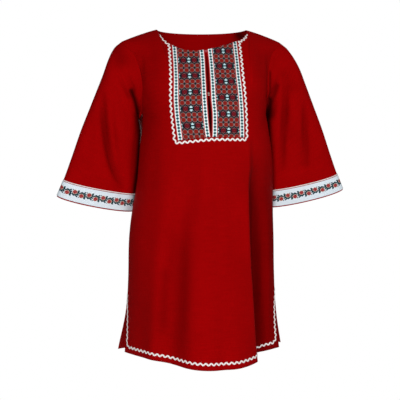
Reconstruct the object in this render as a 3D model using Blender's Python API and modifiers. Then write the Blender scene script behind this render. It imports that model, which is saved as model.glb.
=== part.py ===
"""Tunic with flared three-quarter sleeves, filled out as if worn.

Metres, +Z up, the front towards -Y. The origin lies between the two neck
points, where the wearer's shoulders hold the garment up. Left and right are
the viewer's, seen from the front. A place on the body is given by `across`,
from -1 at the left side to 1 at the right side, and by its height.
"""
import math

import bmesh
import bpy
from mathutils import Vector
from mathutils.bvhtree import BVHTree

NAME = "tunic"

# Cloth, trim and the gap left at every seam
WALL = 0.0012
TRIM = 0.0010
SEAM = 0.0003

# Neck, shoulders and armholes
NECK_HALF = 0.1047
NECK_DROP = 0.059
NECK_DEPTH = {"front": 0.075, "back": 0.055}
NECK_TILT = 0.17
SHOULDER_HALF = 0.187
SHOULDER_DROP = 0.0285
SHOULDER_CURVE = 1.18
SHOULDER_FALL = 0.14
SHOULDER_ROUND = 0.62
SHOULDER_EASE = 0.0009
SHOULDER_EASE_DROP = 0.020
UNDERARM = -0.195
LEAN = 0.027

# Small shift that keeps the inner sides of two walls apart where they slant at a seam
SEAM_EASE = 0.0002

# Hem and side slits
HEM = {"front": -0.773, "back": -0.768}
HEM_RISE = 0.026
HEM_LOW = {"front": 0.12, "back": 0.0}
HEM_SPREAD = {"left": 0.85, "right": 0.68}
SLIT_TOP = -0.622
SLIT_SPREAD = {"front": 0.010, "back": 0.022}
SLIT_FLARE = {"front": -0.008, "back": 0.006}

# Neck slit down the placket's middle line
NECK_SLIT_HALF = 0.009
NECK_SLIT_END = -0.259

# Body sections, one row for each height: half the width, the middle's shift,
# the depth of front, back and armhole edge, and the side's roundness in degrees
SECTION_COLUMNS = ("height", "half", "shift", "front", "back", "armhole", "round")
SECTIONS = (
    (0.010, 0.187, 0.000, 0.112, 0.088, 0.050, 60),
    (-0.030, 0.187, 0.000, 0.113, 0.091, 0.050, 60),
    (-0.060, 0.164, 0.000, 0.115, 0.095, 0.050, 62),
    (-0.100, 0.151, 0.001, 0.118, 0.102, 0.050, 65),
    (-0.150, 0.147, 0.003, 0.121, 0.106, 0.040, 72),
    (-0.195, 0.147, 0.006, 0.123, 0.106, 0.000, 90),
    (-0.230, 0.148, 0.008, 0.122, 0.104, 0.000, 90),
    (-0.270, 0.154, 0.009, 0.120, 0.100, 0.000, 90),
    (-0.310, 0.158, 0.010, 0.118, 0.096, 0.000, 90),
    (-0.355, 0.161, 0.009, 0.118, 0.092, 0.000, 90),
    (-0.430, 0.168, 0.003, 0.121, 0.093, 0.000, 90),
    (-0.490, 0.172, 0.001, 0.125, 0.098, 0.000, 90),
    (-0.585, 0.174, 0.001, 0.134, 0.106, 0.000, 90),
    (-0.680, 0.181, 0.001, 0.142, 0.113, 0.000, 78),
    (-0.780, 0.196, 0.002, 0.150, 0.119, 0.000, 62),
)
MIDDLE_HALF = 0.155
FULLNESS = 2.3

# Soft folds of front and back: where each starts and how far across it lies
# there and at the hem, its half width, and its depth at the hem (ridges are below 0)
FOLD_COLUMNS = ("face", "start", "across_top", "across_hem", "half", "depth")
FOLDS = (
    ("front", -0.230, -0.30, -0.56, 0.15, 0.022),
    ("front", -0.300, -0.62, -0.80, 0.09, -0.007),
    ("front", -0.420, 0.10, 0.16, 0.12, 0.006),
    ("back", -0.260, -0.42, -0.52, 0.13, 0.020),
    ("back", -0.340, 0.05, 0.02, 0.11, 0.012),
    ("back", -0.240, 0.46, 0.55, 0.14, 0.024),
)
FOLD_FULL = 0.25
FOLD_START = 0.6
FOLD_BEND = 0.8

# The deep fold to the right of the front: the ridge's place, the width of the
# wall behind it, and the share of the depth that the side part loses
DEEP_COLUMNS = ("height", "ridge", "wall", "share")
DEEP_FOLD = (
    (-0.255, 0.500, 0.10, 0.00),
    (-0.310, 0.505, 0.10, 0.08),
    (-0.400, 0.520, 0.10, 0.22),
    (-0.490, 0.535, 0.11, 0.38),
    (-0.585, 0.575, 0.11, 0.55),
    (-0.680, 0.612, 0.12, 0.68),
    (-0.780, 0.645, 0.12, 0.76),
)

# Sleeves, one row for each share of the length from armhole to cuff: the outer
# line, the space to the body's side, and half the sleeve's thickness
SLEEVE_COLUMNS = ("share", "outer_x", "outer_z", "space", "half_depth")
SLEEVE = (
    (0.000, 0.1870, -0.0300, 0.0000, 0.050),
    (0.062, 0.2060, -0.0455, 0.0070, 0.052),
    (0.158, 0.2250, -0.0765, 0.0074, 0.051),
    (0.279, 0.2430, -0.1207, 0.0065, 0.046),
    (0.437, 0.2655, -0.1775, 0.0055, 0.039),
    (0.594, 0.2880, -0.2347, 0.0050, 0.033),
    (0.775, 0.3107, -0.3008, 0.0050, 0.028),
    (0.907, 0.3280, -0.3485, 0.0055, 0.025),
    (1.000, 0.3418, -0.3819, 0.0060, 0.024),
)
SLEEVE_SWING = {"left": -0.006, "right": 0.005}
SLEEVE_OUTER = 0.387
SLEEVE_INNER = 0.2255
SLEEVE_BOW = 0.010
SLEEVE_ROUND = 0.9
ARMHOLE_FADE = 0.25

# How far round behind the body's side the sleeve's inner line lies, as a share
# of `across`, and the share of the sleeve's length where it has got there
SLEEVE_TUCK = 0.070
TUCK_FADE = 0.17

# Sleeve folds: where each starts and ends along the sleeve and across its
# front or back (0 outer line, 1 inner line), its half width and its depth
SLEEVE_FOLD_COLUMNS = ("side", "face", "start", "end", "from_outer", "to_outer", "half", "depth")
SLEEVE_FOLDS = (
    ("left", "front", 0.18, 1.02, 0.24, 0.92, 0.10, 0.006),
    ("left", "back", 0.20, 0.98, 0.35, 0.70, 0.12, 0.006),
    ("right", "front", 0.22, 0.95, 0.62, 0.46, 0.11, 0.005),
    ("right", "back", 0.15, 1.00, 0.40, 0.75, 0.12, 0.006),
)
SLEEVE_FOLD_REACH = 0.6

# Cuff band, with a narrow edging above it and the sleeve's own edge below it
CUFF_EDGE = 0.0025
CUFF_BAND = 0.0350
CUFF_SPACE = 0.0012
CUFF_EDGING = 0.0020

# Placket: ribbons and embroidered panels on each side of the neck slit
RIBBON = 0.0118
PANEL = 0.0480
PLACKET_INNER = 0.0035
PLACKET_STEP = 0.0004
PLACKET_BOTTOM = -0.2605
PLACKET_SLOPE = {"left": 0.080, "right": -0.015}
PLACKET_TRIM = 0.0820
PLACKET_FOOT = 0.0057
PLACKET_CORNER = 0.010

# The placket's middle line: its sideways place at each height
PLACKET_COLUMNS = ("height", "middle")
PLACKET_LINE = (
    (-0.030, -0.0047),
    (-0.085, -0.0041),
    (-0.125, -0.0048),
    (-0.175, -0.0054),
    (-0.210, -0.0031),
    (-0.245, -0.0010),
    (-0.290, 0.0020),
)

# Ric-rac braid
RICRAC_WAVE = 0.0120
RICRAC_SWING = 0.0019
RICRAC_HALF = 0.0018
RICRAC_LIFT = 0.0009
RICRAC_PHASES = (55, 125, 235, 305)
RICRAC_NECK = 0.0050
RICRAC_HEM = 0.0140
RICRAC_SLIT = 0.0080
NECK_STEPS = 8
SIDE_STEPS = 12
SLIT_STEPS = 12
HEM_STEPS = 80

# Neck loop and thread bar
LOOP_RADIUS = 0.0022
LOOP_THREAD = 0.0005
LOOP_DROP = 0.0040
BAR_HEIGHT = -0.166
BAR_SIZE = (0.0030, 0.0012, 0.0012)

# How finely the walls are divided
LEFT_CELLS = 12
MIDDLE_CELLS = 4
FOLD_CELLS = 8
RIGHT_CELLS = 5
FOLD_MARGIN = 0.035
BACK_CELLS = 22
ROWS_BELOW = 11
ROWS_ABOVE = 10
ROW_CROWDING = 1.35
RING_POINTS = 24
SLEEVE_ROWS = 10
SLEEVE_CROWDING = 1.15

# Steps of the searches and measurements along the cloth
SEARCH_ROUNDS = 12
SMALL_STEP = 0.002
LINE_STEP = 0.004

COLOURS = {
    "cloth": ((0.290, 0.002, 0.003), 0.75),
    "band": ((0.700, 0.690, 0.720), 0.70),
    "embroidery": ((0.330, 0.080, 0.070), 0.80),
    "ribbon": ((0.520, 0.620, 0.620), 0.60),
    "braid": ((0.820, 0.760, 0.760), 0.70),
    "thread": ((0.620, 0.200, 0.180), 0.70),
}


def clear_scene():
    for thing in list(bpy.data.objects):
        bpy.data.objects.remove(thing, do_unlink=True)


def make_material(slot):
    """Plain Principled material of one kind of cloth or thread."""
    colour, roughness = COLOURS[slot]
    material = bpy.data.materials.new(slot)
    material.use_nodes = True
    shader = material.node_tree.nodes["Principled BSDF"]
    shader.inputs["Base Color"].default_value = (*colour, 1.0)
    shader.inputs["Roughness"].default_value = roughness
    shader.inputs["Metallic"].default_value = 0.0
    return material


def lerp(a, b, share):
    return a + (b - a) * share


def smooth(share):
    """Soft step from 0 to 1."""
    share = min(max(share, 0.0), 1.0)
    return share * share * (3.0 - 2.0 * share)


def along(table, columns, column, at):
    """Smooth curve through one column of a table, by its first column."""
    k = columns.index(column)
    rows = sorted(table)
    if at <= rows[0][0]:
        return rows[0][k]
    if at >= rows[-1][0]:
        return rows[-1][k]
    i = max(n for n, row in enumerate(rows) if row[0] <= at)
    i = min(i, len(rows) - 2)

    def slope(n):
        low = rows[max(n - 1, 0)]
        high = rows[min(n + 1, len(rows) - 1)]
        return (high[k] - low[k]) / (high[0] - low[0])

    span = rows[i + 1][0] - rows[i][0]
    t = (at - rows[i][0]) / span
    start = rows[i][k]
    step = rows[i + 1][k] - start
    bend = t * (1 - t) * ((1 - t) * (slope(i) * span - step) - t * (slope(i + 1) * span - step))
    return start + step * t + bend


def section(column, height):
    return along(SECTIONS, SECTION_COLUMNS, column, height)


def deep(column, height):
    return along(DEEP_FOLD, DEEP_COLUMNS, column, height)


def half_width(face, height):
    """Half the body's width, with the panels' flare beside the side slits."""
    open_share = smooth((SLIT_TOP - height) / (SLIT_TOP - HEM[face]))
    return section("half", height) + SLIT_FLARE[face] * open_share


def place_x(face, across, height):
    """Sideways place, where only the parts near the sides follow the width."""
    side = half_width(face, height) - MIDDLE_HALF
    return section("shift", height) + MIDDLE_HALF * across + side * across ** 3


def across_at(face, x, height):
    """The `across` value whose point lies at x."""
    value = x / MIDDLE_HALF
    side = half_width(face, height) - MIDDLE_HALF
    for _ in range(SEARCH_ROUNDS):
        error = place_x(face, value, height) - x
        value -= error / (MIDDLE_HALF + 3 * side * value * value)
    return value


def top_x(across):
    """Sideways place of a column's upper end, on the neckline or shoulder."""
    return MIDDLE_HALF * across + (SHOULDER_HALF - MIDDLE_HALF) * across ** 3


def neck_share(across):
    """1 at the middle of the neckline and 0 from the neck points outwards."""
    return math.sqrt(max(0.0, 1.0 - (top_x(across) / NECK_HALF) ** 2))


def top_height(face, across):
    """Height of the neckline, and of the shoulder seam outside it."""
    x = top_x(across)
    out = max(0.0, abs(x) - NECK_HALF) / (SHOULDER_HALF - NECK_HALF)
    height = -SHOULDER_DROP * out ** SHOULDER_CURVE
    if face == "front":
        share = neck_share(across)
        height -= NECK_DROP * share
        height += NECK_TILT * x * share * share
    return height


def hem_height(face, across):
    """Height of the hem, which rises towards the side slits."""
    away = across - HEM_LOW[face]
    reach = HEM_SPREAD["left" if away < 0.0 else "right"]
    return HEM[face] + HEM_RISE * (1.0 - math.exp(-abs(away / reach) ** 3))


def fold_depth(face, across, height):
    """How far the soft folds draw the cloth in."""
    total = 0.0
    for row in FOLDS:
        fold = dict(zip(FOLD_COLUMNS, row))
        if fold["face"] != face or height > fold["start"]:
            continue
        down = (fold["start"] - height) / (fold["start"] - HEM[face])
        middle = lerp(fold["across_top"], fold["across_hem"], down ** FOLD_BEND)
        growth = smooth((fold["start"] - height) / FOLD_FULL) * lerp(FOLD_START, 1.0, down)
        total += fold["depth"] * growth * math.exp(-((across - middle) / fold["half"]) ** 2)
    return total


def body_depth(face, across, height):
    """Depth of front or back below the shoulders, folds included."""
    edge = section("armhole", height)
    edge += SLIT_SPREAD[face] * smooth((SLIT_TOP - height) / (SLIT_TOP - HEM[face]))
    turn = math.radians(section("round", height))
    ratio = min(1.0, abs(across)) ** (FULLNESS / 2) * math.sin(turn)
    bulge = (math.sqrt(max(0.0, 1.0 - ratio * ratio)) - math.cos(turn)) / (1.0 - math.cos(turn))
    depth = edge + (section(face, height) - edge) * bulge
    depth -= fold_depth(face, across, height) * min(1.0, bulge * 2.0)
    if face == "front" and height < DEEP_FOLD[0][0]:
        behind = smooth((across - deep("ridge", height)) / deep("wall", height))
        depth = edge + (depth - edge) * (1.0 - deep("share", height) * behind)
    return depth


def body_point(face, across, height):
    """Point of the body's outer surface."""
    drop = max(0.0, top_height(face, across) - height)
    start = NECK_DEPTH[face] * neck_share(across)
    rounding = lerp(SHOULDER_ROUND, 1.0, neck_share(across))
    fall = math.sin(math.pi / 2 * min(1.0, drop / SHOULDER_FALL)) ** rounding
    depth = lerp(start, body_depth(face, across, height), fall) + SEAM / 2 + SEAM_EASE
    depth += SHOULDER_EASE * (1.0 - neck_share(across)) * max(0.0, 1.0 - drop / SHOULDER_EASE_DROP)
    x = place_x(face, across, height)
    y = -depth if face == "front" else depth
    lean = LEAN * x * smooth((height - HEM[face]) / -UNDERARM)
    return Vector((x, y, height + lean))


def spread(start, end, cells):
    """Places after the start, in equal angles across the body."""
    first = math.asin(start)
    last = math.asin(end)
    return [math.sin(lerp(first, last, n / cells)) for n in range(1, cells + 1)]


def placket_middle(height):
    """Sideways place of the placket's middle line."""
    return along(PLACKET_LINE, PLACKET_COLUMNS, "middle", height)


def slit_middle(height):
    """The `across` value of the placket's middle line."""
    return across_at("front", placket_middle(height), height)


def places_across(face, share):
    """Places of a row's columns, which follow the neck slit and the deep fold on the front."""
    if face == "back":
        return list(reversed([-1.0] + spread(-1.0, 1.0, BACK_CELLS)))
    height = lerp(HEM[face], 0.0, share)
    slit = slit_middle(lerp(HEM[face], -NECK_DROP, share))
    fold_start = deep("ridge", height) - FOLD_MARGIN
    fold_end = fold_start + deep("wall", height) + 2 * FOLD_MARGIN
    places = [-1.0] + spread(-1.0, slit - NECK_SLIT_HALF, LEFT_CELLS) + [slit + NECK_SLIT_HALF]
    places += spread(slit + NECK_SLIT_HALF, fold_start, MIDDLE_CELLS)
    places += spread(fold_start, fold_end, FOLD_CELLS)
    return places + spread(fold_end, 1.0, RIGHT_CELLS)


def row_shares(face):
    """Shares of a column's height, hem to top, with a row at the neck slit's end."""
    end = (NECK_SLIT_END - HEM[face]) / (top_height(face, 0.0) - HEM[face])
    below = [end * n / ROWS_BELOW for n in range(ROWS_BELOW)]
    above = [lerp(end, 1.0, 1.0 - (1.0 - n / ROWS_ABOVE) ** ROW_CROWDING) for n in range(ROWS_ABOVE + 1)]
    return below + above


def body_rows(face):
    """Points of front or back, a list for each row from the hem to the top."""
    rows = []
    for share in row_shares(face):
        row = []
        for across in places_across(face, share):
            height = lerp(hem_height(face, across), top_height(face, across), share)
            row.append(body_point(face, across, height))
        rows.append(row)
    return rows


def surface(rows, ring=False, left_out=()):
    """Open mesh through rows of points, faces out, without the cells left out."""
    mesh = bmesh.new()
    grid = [[mesh.verts.new(point) for point in row] for row in rows]
    steps = len(rows[0]) if ring else len(rows[0]) - 1
    for r in range(len(rows) - 1):
        for c in range(steps):
            if (r, c) in left_out:
                continue
            d = (c + 1) % len(rows[0])
            corners = (grid[r][c], grid[r][d], grid[r + 1][d], grid[r + 1][c])
            mesh.faces.new(corners[:3])
            mesh.faces.new((corners[0], corners[2], corners[3]))
    mesh.normal_update()
    return mesh


def add_shell(name, mesh, slot, thickness, outward, parts):
    """Object whose open surface gets its thickness from Solidify."""
    data = bpy.data.meshes.new(name)
    mesh.to_mesh(data)
    thing = bpy.data.objects.new(name, data)
    parts["collection"].objects.link(thing)
    data.materials.append(parts[slot])
    solid = thing.modifiers.new("wall", "SOLIDIFY")
    solid.thickness = thickness
    solid.offset = 1.0 if outward else -1.0
    data.shade_smooth()
    return thing


def neck_slit_cells(rows):
    """Cells of the front that the neck slit takes away."""
    return {(r, LEFT_CELLS) for r in range(ROWS_BELOW, len(rows) - 1)}


def add_body(parts):
    """Front and back, and the front's open surface for what is sewn on it."""
    front_rows = body_rows("front")
    front = surface(front_rows, left_out=neck_slit_cells(front_rows))
    back = surface(body_rows("back"))
    add_shell("front", front, "cloth", WALL, False, parts)
    add_shell("back", back, "cloth", WALL, False, parts)
    return {"front": front, "back": back}


def side_sign(side):
    return -1.0 if side == "left" else 1.0


def armhole_point(side, face, share):
    """Point of the armhole, from the shoulder (0) to the underarm (1)."""
    across = side_sign(side)
    height = lerp(top_height(face, across), UNDERARM, share)
    return body_point(face, across, height)


def sleeve_line(side, share):
    """Outer and inner line of a sleeve at one share of its length."""
    sign = side_sign(side)
    swing = SLEEVE_SWING[side] * smooth(share / ARMHOLE_FADE)
    outer = Vector((0.0, 0.0, 0.0))
    outer.x = sign * (along(SLEEVE, SLEEVE_COLUMNS, "outer_x", share) + swing)
    outer.z = along(SLEEVE, SLEEVE_COLUMNS, "outer_z", share)
    inner_z = UNDERARM - SLEEVE_INNER * share
    beside = body_point("back", sign * (1.0 - SLEEVE_TUCK * smooth(share / TUCK_FADE)), inner_z)
    space = along(SLEEVE, SLEEVE_COLUMNS, "space", share)
    inner = Vector((beside.x + sign * space, beside.y, inner_z))
    outer.z += LEAN * outer.x
    inner.z += LEAN * inner.x
    return outer, inner


def sleeve_fold(side, face, share, chord):
    """How far the sleeve's folds draw its cloth in."""
    total = 0.0
    for row in SLEEVE_FOLDS:
        fold = dict(zip(SLEEVE_FOLD_COLUMNS, row))
        if (fold["side"], fold["face"]) != (side, face):
            continue
        run = (share - fold["start"]) / (fold["end"] - fold["start"])
        if run <= 0.0 or run >= 1.0:
            continue
        middle = lerp(fold["from_outer"], fold["to_outer"], run ** FOLD_BEND)
        reach = math.sin(math.pi * run) ** SLEEVE_FOLD_REACH
        total += fold["depth"] * reach * math.exp(-((chord - middle) / fold["half"]) ** 2)
    return total


def sleeve_point(side, turn, share):
    """Point of a sleeve's outer surface; turn runs once round from the outer line."""
    angle = 2 * math.pi * turn
    face = "front" if turn <= 0.5 else "back"
    chord = (1.0 - math.cos(angle)) / 2
    outer, inner = sleeve_line(side, share)
    bow = math.sin(angle)
    depth = along(SLEEVE, SLEEVE_COLUMNS, "half_depth", share) * abs(bow) ** SLEEVE_ROUND
    depth -= sleeve_fold(side, face, share, chord) * min(1.0, 2 * abs(bow))
    ring = Vector((0.0, -depth if face == "front" else depth, -SLEEVE_BOW * abs(bow) * share * share))
    start_outer, start_inner = sleeve_line(side, 0.0)
    armhole = armhole_point(side, face, chord) - start_outer.lerp(start_inner, chord)
    keep = 1.0 - smooth(share / ARMHOLE_FADE)
    point = outer.lerp(inner, chord) + ring.lerp(armhole, keep)
    point.x += side_sign(side) * 2 * SEAM
    return point


def sleeve_length(turn):
    """Length of the cloth from armhole to cuff, between outer and inner line."""
    chord = (1.0 - math.cos(2 * math.pi * turn)) / 2
    return lerp(SLEEVE_OUTER, SLEEVE_INNER, chord)


def sleeve_rows(side, heights):
    """Rings of a sleeve at heights above its lower edge; 1 is the whole length."""
    rows = []
    for height in heights:
        row = []
        for n in range(RING_POINTS):
            turn = n / RING_POINTS
            share = 0.0 if height == 1 else 1.0 - height / sleeve_length(turn)
            row.append(sleeve_point(side, turn, share))
        rows.append(row)
    return rows


def cuff_heights():
    """Heights of the cuff's trim above the sleeve's edge."""
    band_top = CUFF_EDGE + CUFF_BAND
    edging = band_top + CUFF_SPACE
    return [CUFF_EDGE, band_top, edging, edging + CUFF_EDGING]


def upper_sleeve_rows(side):
    """Rings between armhole and cuff band, by equal shares of each line."""
    top = cuff_heights()[-1]
    rows = []
    for n in range(1, SLEEVE_ROWS):
        row = []
        for m in range(RING_POINTS):
            turn = m / RING_POINTS
            last = 1.0 - top / sleeve_length(turn)
            share = last * (1.0 - (n / SLEEVE_ROWS) ** SLEEVE_CROWDING)
            row.append(sleeve_point(side, turn, share))
        rows.append(row)
    return rows


def ordered(rows, side):
    """Rings with their points in the order that turns the faces out."""
    if side == "left":
        return rows
    return [list(reversed(row)) for row in rows]


def moved_out(mesh, distance):
    """The surface moved out along its normals."""
    mesh.normal_update()
    moves = [(vert, vert.normal * distance) for vert in mesh.verts]
    for vert, move in moves:
        vert.co += move
    mesh.normal_update()
    return mesh


def add_sleeve(side, parts):
    """Sleeve with its cuff band and the narrow edging above the band."""
    heights = cuff_heights()
    lower = sleeve_rows(side, [0.0] + heights)
    armhole = sleeve_rows(side, [1])
    rows = ordered(lower + upper_sleeve_rows(side) + armhole, side)
    add_shell("sleeve_" + side, surface(rows, ring=True), "cloth", WALL, False, parts)
    band = moved_out(surface(rows[1:3], ring=True), SEAM)
    add_shell("cuff_" + side, band, "band", TRIM, True, parts)
    edging = moved_out(surface(rows[3:5], ring=True), SEAM)
    add_shell("cuff_edging_" + side, edging, "braid", TRIM, True, parts)


def cut_patch(source, planes):
    """Copy of a surface, trimmed by planes given as (point, direction kept)."""
    patch = source.copy()
    for point, kept in planes:
        geometry = patch.verts[:] + patch.edges[:] + patch.faces[:]
        bmesh.ops.bisect_plane(patch, geom=geometry, dist=1e-6, plane_co=point,
                               plane_no=-Vector(kept), clear_outer=True)
    return patch


def placket_strip(source, side, start, end):
    """Patch of the front between two distances from the placket's middle line."""
    straight = source.copy()
    for vert in straight.verts:
        vert.co.x -= placket_middle(vert.co.z)
    foot = (0.0, 0.0, PLACKET_BOTTOM)
    rise = (-PLACKET_SLOPE[side], 0.0, 1.0)
    planes = (((start, 0.0, 0.0), (1.0, 0.0, 0.0)), ((end, 0.0, 0.0), (-1.0, 0.0, 0.0)), (foot, rise))
    patch = cut_patch(straight, planes)
    for vert in patch.verts:
        vert.co.x += placket_middle(vert.co.z)
    return moved_out(patch, SEAM)


def add_placket(front, parts):
    """Two embroidered panels, each between two ribbons, beside the neck slit."""
    for side in ("left", "right"):
        place = PLACKET_INNER
        for name, width, slot in (("ribbon_inner_", RIBBON, "ribbon"), ("panel_", PANEL, "embroidery"),
                                  ("ribbon_outer_", RIBBON, "ribbon")):
            ends = sorted((side_sign(side) * place, side_sign(side) * (place + width)))
            strip = placket_strip(front, side, ends[0], ends[1])
            add_shell(name + side, strip, slot, TRIM, True, parts)
            place += width + PLACKET_STEP


def body_normal(face, across, height):
    """Outward direction of the body's surface."""
    step = SMALL_STEP
    side = body_point(face, across + step, height) - body_point(face, across - step, height)
    rise = body_point(face, across, height + step) - body_point(face, across, height - step)
    normal = side.cross(rise).normalized()
    return -normal if face == "back" else normal


def resampled(points, normals):
    """Points, normals and directions at the braid's bends along a line."""
    lengths = [0.0]
    for a, b in zip(points, points[1:]):
        lengths.append(lengths[-1] + (b - a).length)
    result = []
    i = 0
    for distance in wave_distances(lengths[-1]):
        while i < len(lengths) - 2 and lengths[i + 1] < distance:
            i += 1
        share = (distance - lengths[i]) / max(1e-9, lengths[i + 1] - lengths[i])
        share = min(max(share, 0.0), 1.0)
        place = points[i].lerp(points[i + 1], share)
        normal = normals[i].lerp(normals[i + 1], share).normalized()
        direction = (points[i + 1] - points[i]).normalized()
        result.append((place, normal, direction))
    return result


def wave_distances(length):
    """Distances of the braid's bends, a whole number of waves long."""
    waves = max(1, round(length / RICRAC_WAVE))
    wave = length / waves
    distances = [0.0]
    for n in range(waves):
        distances += [(n + phase / 360) * wave for phase in RICRAC_PHASES]
    return distances + [length]


def add_ricrac(name, face, places, surfaces, parts):
    """Wavy braid along a line of (across, height) places on the cloth."""
    tree = BVHTree.FromBMesh(surfaces[face])
    points = [body_point(face, across, height) for across, height in places]
    normals = [body_normal(face, across, height) for across, height in places]
    sites = resampled(points, normals)
    waves = (len(sites) - 2) // len(RICRAC_PHASES)
    phases = [0.0] + [math.radians(p) + 2 * math.pi * n for n in range(waves) for p in RICRAC_PHASES]
    phases.append(2 * math.pi * waves)
    middle = []
    for (place, normal, direction), phase in zip(sites, phases):
        sideways = normal.cross(direction).normalized()
        middle.append(place + sideways * RICRAC_SWING * math.sin(phase))
    left = []
    right = []
    for n, (_, normal, _) in enumerate(sites):
        ahead = middle[min(n + 1, len(middle) - 1)] - middle[max(n - 1, 0)]
        sideways = normal.cross(ahead).normalized()
        for line, sign in ((left, 1.0), (right, -1.0)):
            spot = middle[n] + sideways * RICRAC_HALF * sign
            near = tree.find_nearest(spot)[0]
            line.append(near + normal * RICRAC_LIFT)
    mesh = surface([right, left])
    add_shell(name, mesh, "braid", TRIM, True, parts)


def rounded(corners, radius):
    """Line of (x, height) places with its corners cut to short arcs."""
    line = [corners[0]]
    for before, corner, after in zip(corners, corners[1:], corners[2:]):
        for share in (0.0, 0.25, 0.5, 0.75, 1.0):
            start = toward(corner, before, radius)
            end = toward(corner, after, radius)
            first = (lerp(start[0], corner[0], share), lerp(start[1], corner[1], share))
            second = (lerp(corner[0], end[0], share), lerp(corner[1], end[1], share))
            line.append((lerp(first[0], second[0], share), lerp(first[1], second[1], share)))
    line.append(corners[-1])
    return line


def toward(start, goal, distance):
    """Place at a distance from the start, at most half way to the goal."""
    dx = goal[0] - start[0]
    dz = goal[1] - start[1]
    share = min(0.5, distance / math.hypot(dx, dz))
    return (start[0] + dx * share, start[1] + dz * share)


def filled(line):
    """The line with places added so that none is further apart than LINE_STEP."""
    result = [line[0]]
    for a, b in zip(line, line[1:]):
        count = max(1, math.ceil(math.hypot(b[0] - a[0], b[1] - a[1]) / LINE_STEP))
        for n in range(1, count + 1):
            result.append((lerp(a[0], b[0], n / count), lerp(a[1], b[1], n / count)))
    return result


def neck_places(sign):
    """Places of the braid below the neckline, from a neck point to the placket."""
    corner = placket_middle(-NECK_DROP) + sign * PLACKET_TRIM
    start = sign * (NECK_HALF - RICRAC_HALF)
    places = []
    for n in range(NECK_STEPS + 1):
        x = lerp(start, corner, n / NECK_STEPS)
        height = top_height("front", across_at("front", x, 0.0))
        places.append((x, height - RICRAC_NECK))
    return places


def placket_side(side, top):
    """Places of the braid down one side of the placket, and its lower corner."""
    foot = PLACKET_BOTTOM - PLACKET_FOOT
    places = []
    for n in range(SIDE_STEPS + 1):
        height = lerp(top, foot + PLACKET_CORNER, n / SIDE_STEPS)
        places.append((placket_middle(height) + side_sign(side) * PLACKET_TRIM, height))
    x = placket_middle(foot) + side_sign(side) * PLACKET_TRIM
    return places, (x, foot + PLACKET_SLOPE[side] * x)


def yoke_places():
    """Places of the braid from one neck point round the placket to the other."""
    left = neck_places(-1.0)
    right = neck_places(1.0)
    left_side, left_corner = placket_side("left", left[-1][1])
    right_side, right_corner = placket_side("right", right[-1][1])
    foot = (0.0, PLACKET_BOTTOM - PLACKET_FOOT)
    turn = rounded([left_side[-1], left_corner, foot, right_corner, right_side[-1]], PLACKET_CORNER)
    return left[:-1] + left_side[:-1] + turn + right_side[-2::-1] + right[-2::-1]


def add_yoke_braid(surfaces, parts):
    """Braid round the placket and along the neckline."""
    places = [(across_at("front", x, height), height) for x, height in filled(yoke_places())]
    add_ricrac("ricrac_yoke", "front", places, surfaces, parts)


def from_side(face, sign, height, distance):
    """The `across` value at a distance along the cloth from the side's edge."""
    across = sign
    before = body_point(face, across, height)
    while distance > 0.0:
        across -= sign * SMALL_STEP
        here = body_point(face, across, height)
        distance -= (here - before).length
        before = here
    return across


def slit_places(face, sign):
    """Places (across, height) of the braid beside a slit, from its top down."""
    foot = hem_height(face, sign) + RICRAC_HEM + RICRAC_SLIT
    places = []
    for n in range(SLIT_STEPS + 1):
        height = lerp(SLIT_TOP + RICRAC_SLIT, foot, n / SLIT_STEPS)
        distance = lerp(RICRAC_SLIT / 2, RICRAC_SLIT, min(1.0, 3 * n / SLIT_STEPS))
        places.append((from_side(face, sign, height, distance), height))
    return places


def hem_places(face):
    """Places (across, height) of the hem braid, up both side slits."""
    right = slit_places(face, 1.0)
    left = slit_places(face, -1.0)
    start = from_side(face, 1.0, hem_height(face, 1.0) + RICRAC_HEM, RICRAC_SLIT * 2)
    end = from_side(face, -1.0, hem_height(face, -1.0) + RICRAC_HEM, RICRAC_SLIT * 2)
    bottom = []
    for n in range(HEM_STEPS + 1):
        across = lerp(start, end, (1.0 - math.cos(math.pi * n / HEM_STEPS)) / 2)
        bottom.append((across, hem_height(face, across) + RICRAC_HEM))
    return right + bottom + list(reversed(left))


def add_hem_braid(face, surfaces, parts):
    """Braid along a hem and its side slits."""
    add_ricrac("ricrac_hem_" + face, face, hem_places(face), surfaces, parts)


def add_neck_loop(parts):
    """Thread loop that closes the neck slit at the neckline."""
    height = top_height("front", slit_middle(-NECK_DROP)) - LOOP_DROP
    place = body_point("front", slit_middle(height), height)
    normal = body_normal("front", slit_middle(height), height)
    bpy.ops.mesh.primitive_torus_add(major_radius=LOOP_RADIUS, minor_radius=LOOP_THREAD,
                                     major_segments=14, minor_segments=6)
    loop = bpy.context.object
    move_to_parts(loop, "neck_loop", "thread", parts)
    loop.location = place + normal * (LOOP_THREAD + SEAM)
    loop.rotation_euler = normal.to_track_quat("Z", "Y").to_euler()


def add_thread_bar(parts):
    """Small sewn bar across the neck slit."""
    bpy.ops.mesh.primitive_cube_add(size=1.0)
    bar = bpy.context.object
    move_to_parts(bar, "thread_bar", "thread", parts)
    place = body_point("front", slit_middle(BAR_HEIGHT), BAR_HEIGHT)
    bar.dimensions = BAR_SIZE
    bar.location = place - Vector((0.0, SEAM + BAR_SIZE[1] / 2, 0.0))


def move_to_parts(thing, name, slot, parts):
    """Give a primitive its name, collection and material."""
    thing.name = name
    thing.data.name = name
    for collection in list(thing.users_collection):
        collection.objects.unlink(thing)
    parts["collection"].objects.link(thing)
    thing.data.materials.append(parts[slot])


def build():
    clear_scene()
    parts = {slot: make_material(slot) for slot in COLOURS}
    parts["collection"] = bpy.data.collections.new(NAME)
    bpy.context.scene.collection.children.link(parts["collection"])
    surfaces = add_body(parts)
    for side in ("left", "right"):
        add_sleeve(side, parts)
    add_placket(surfaces["front"], parts)
    add_yoke_braid(surfaces, parts)
    add_hem_braid("front", surfaces, parts)
    add_hem_braid("back", surfaces, parts)
    add_neck_loop(parts)
    add_thread_bar(parts)


build()
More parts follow.
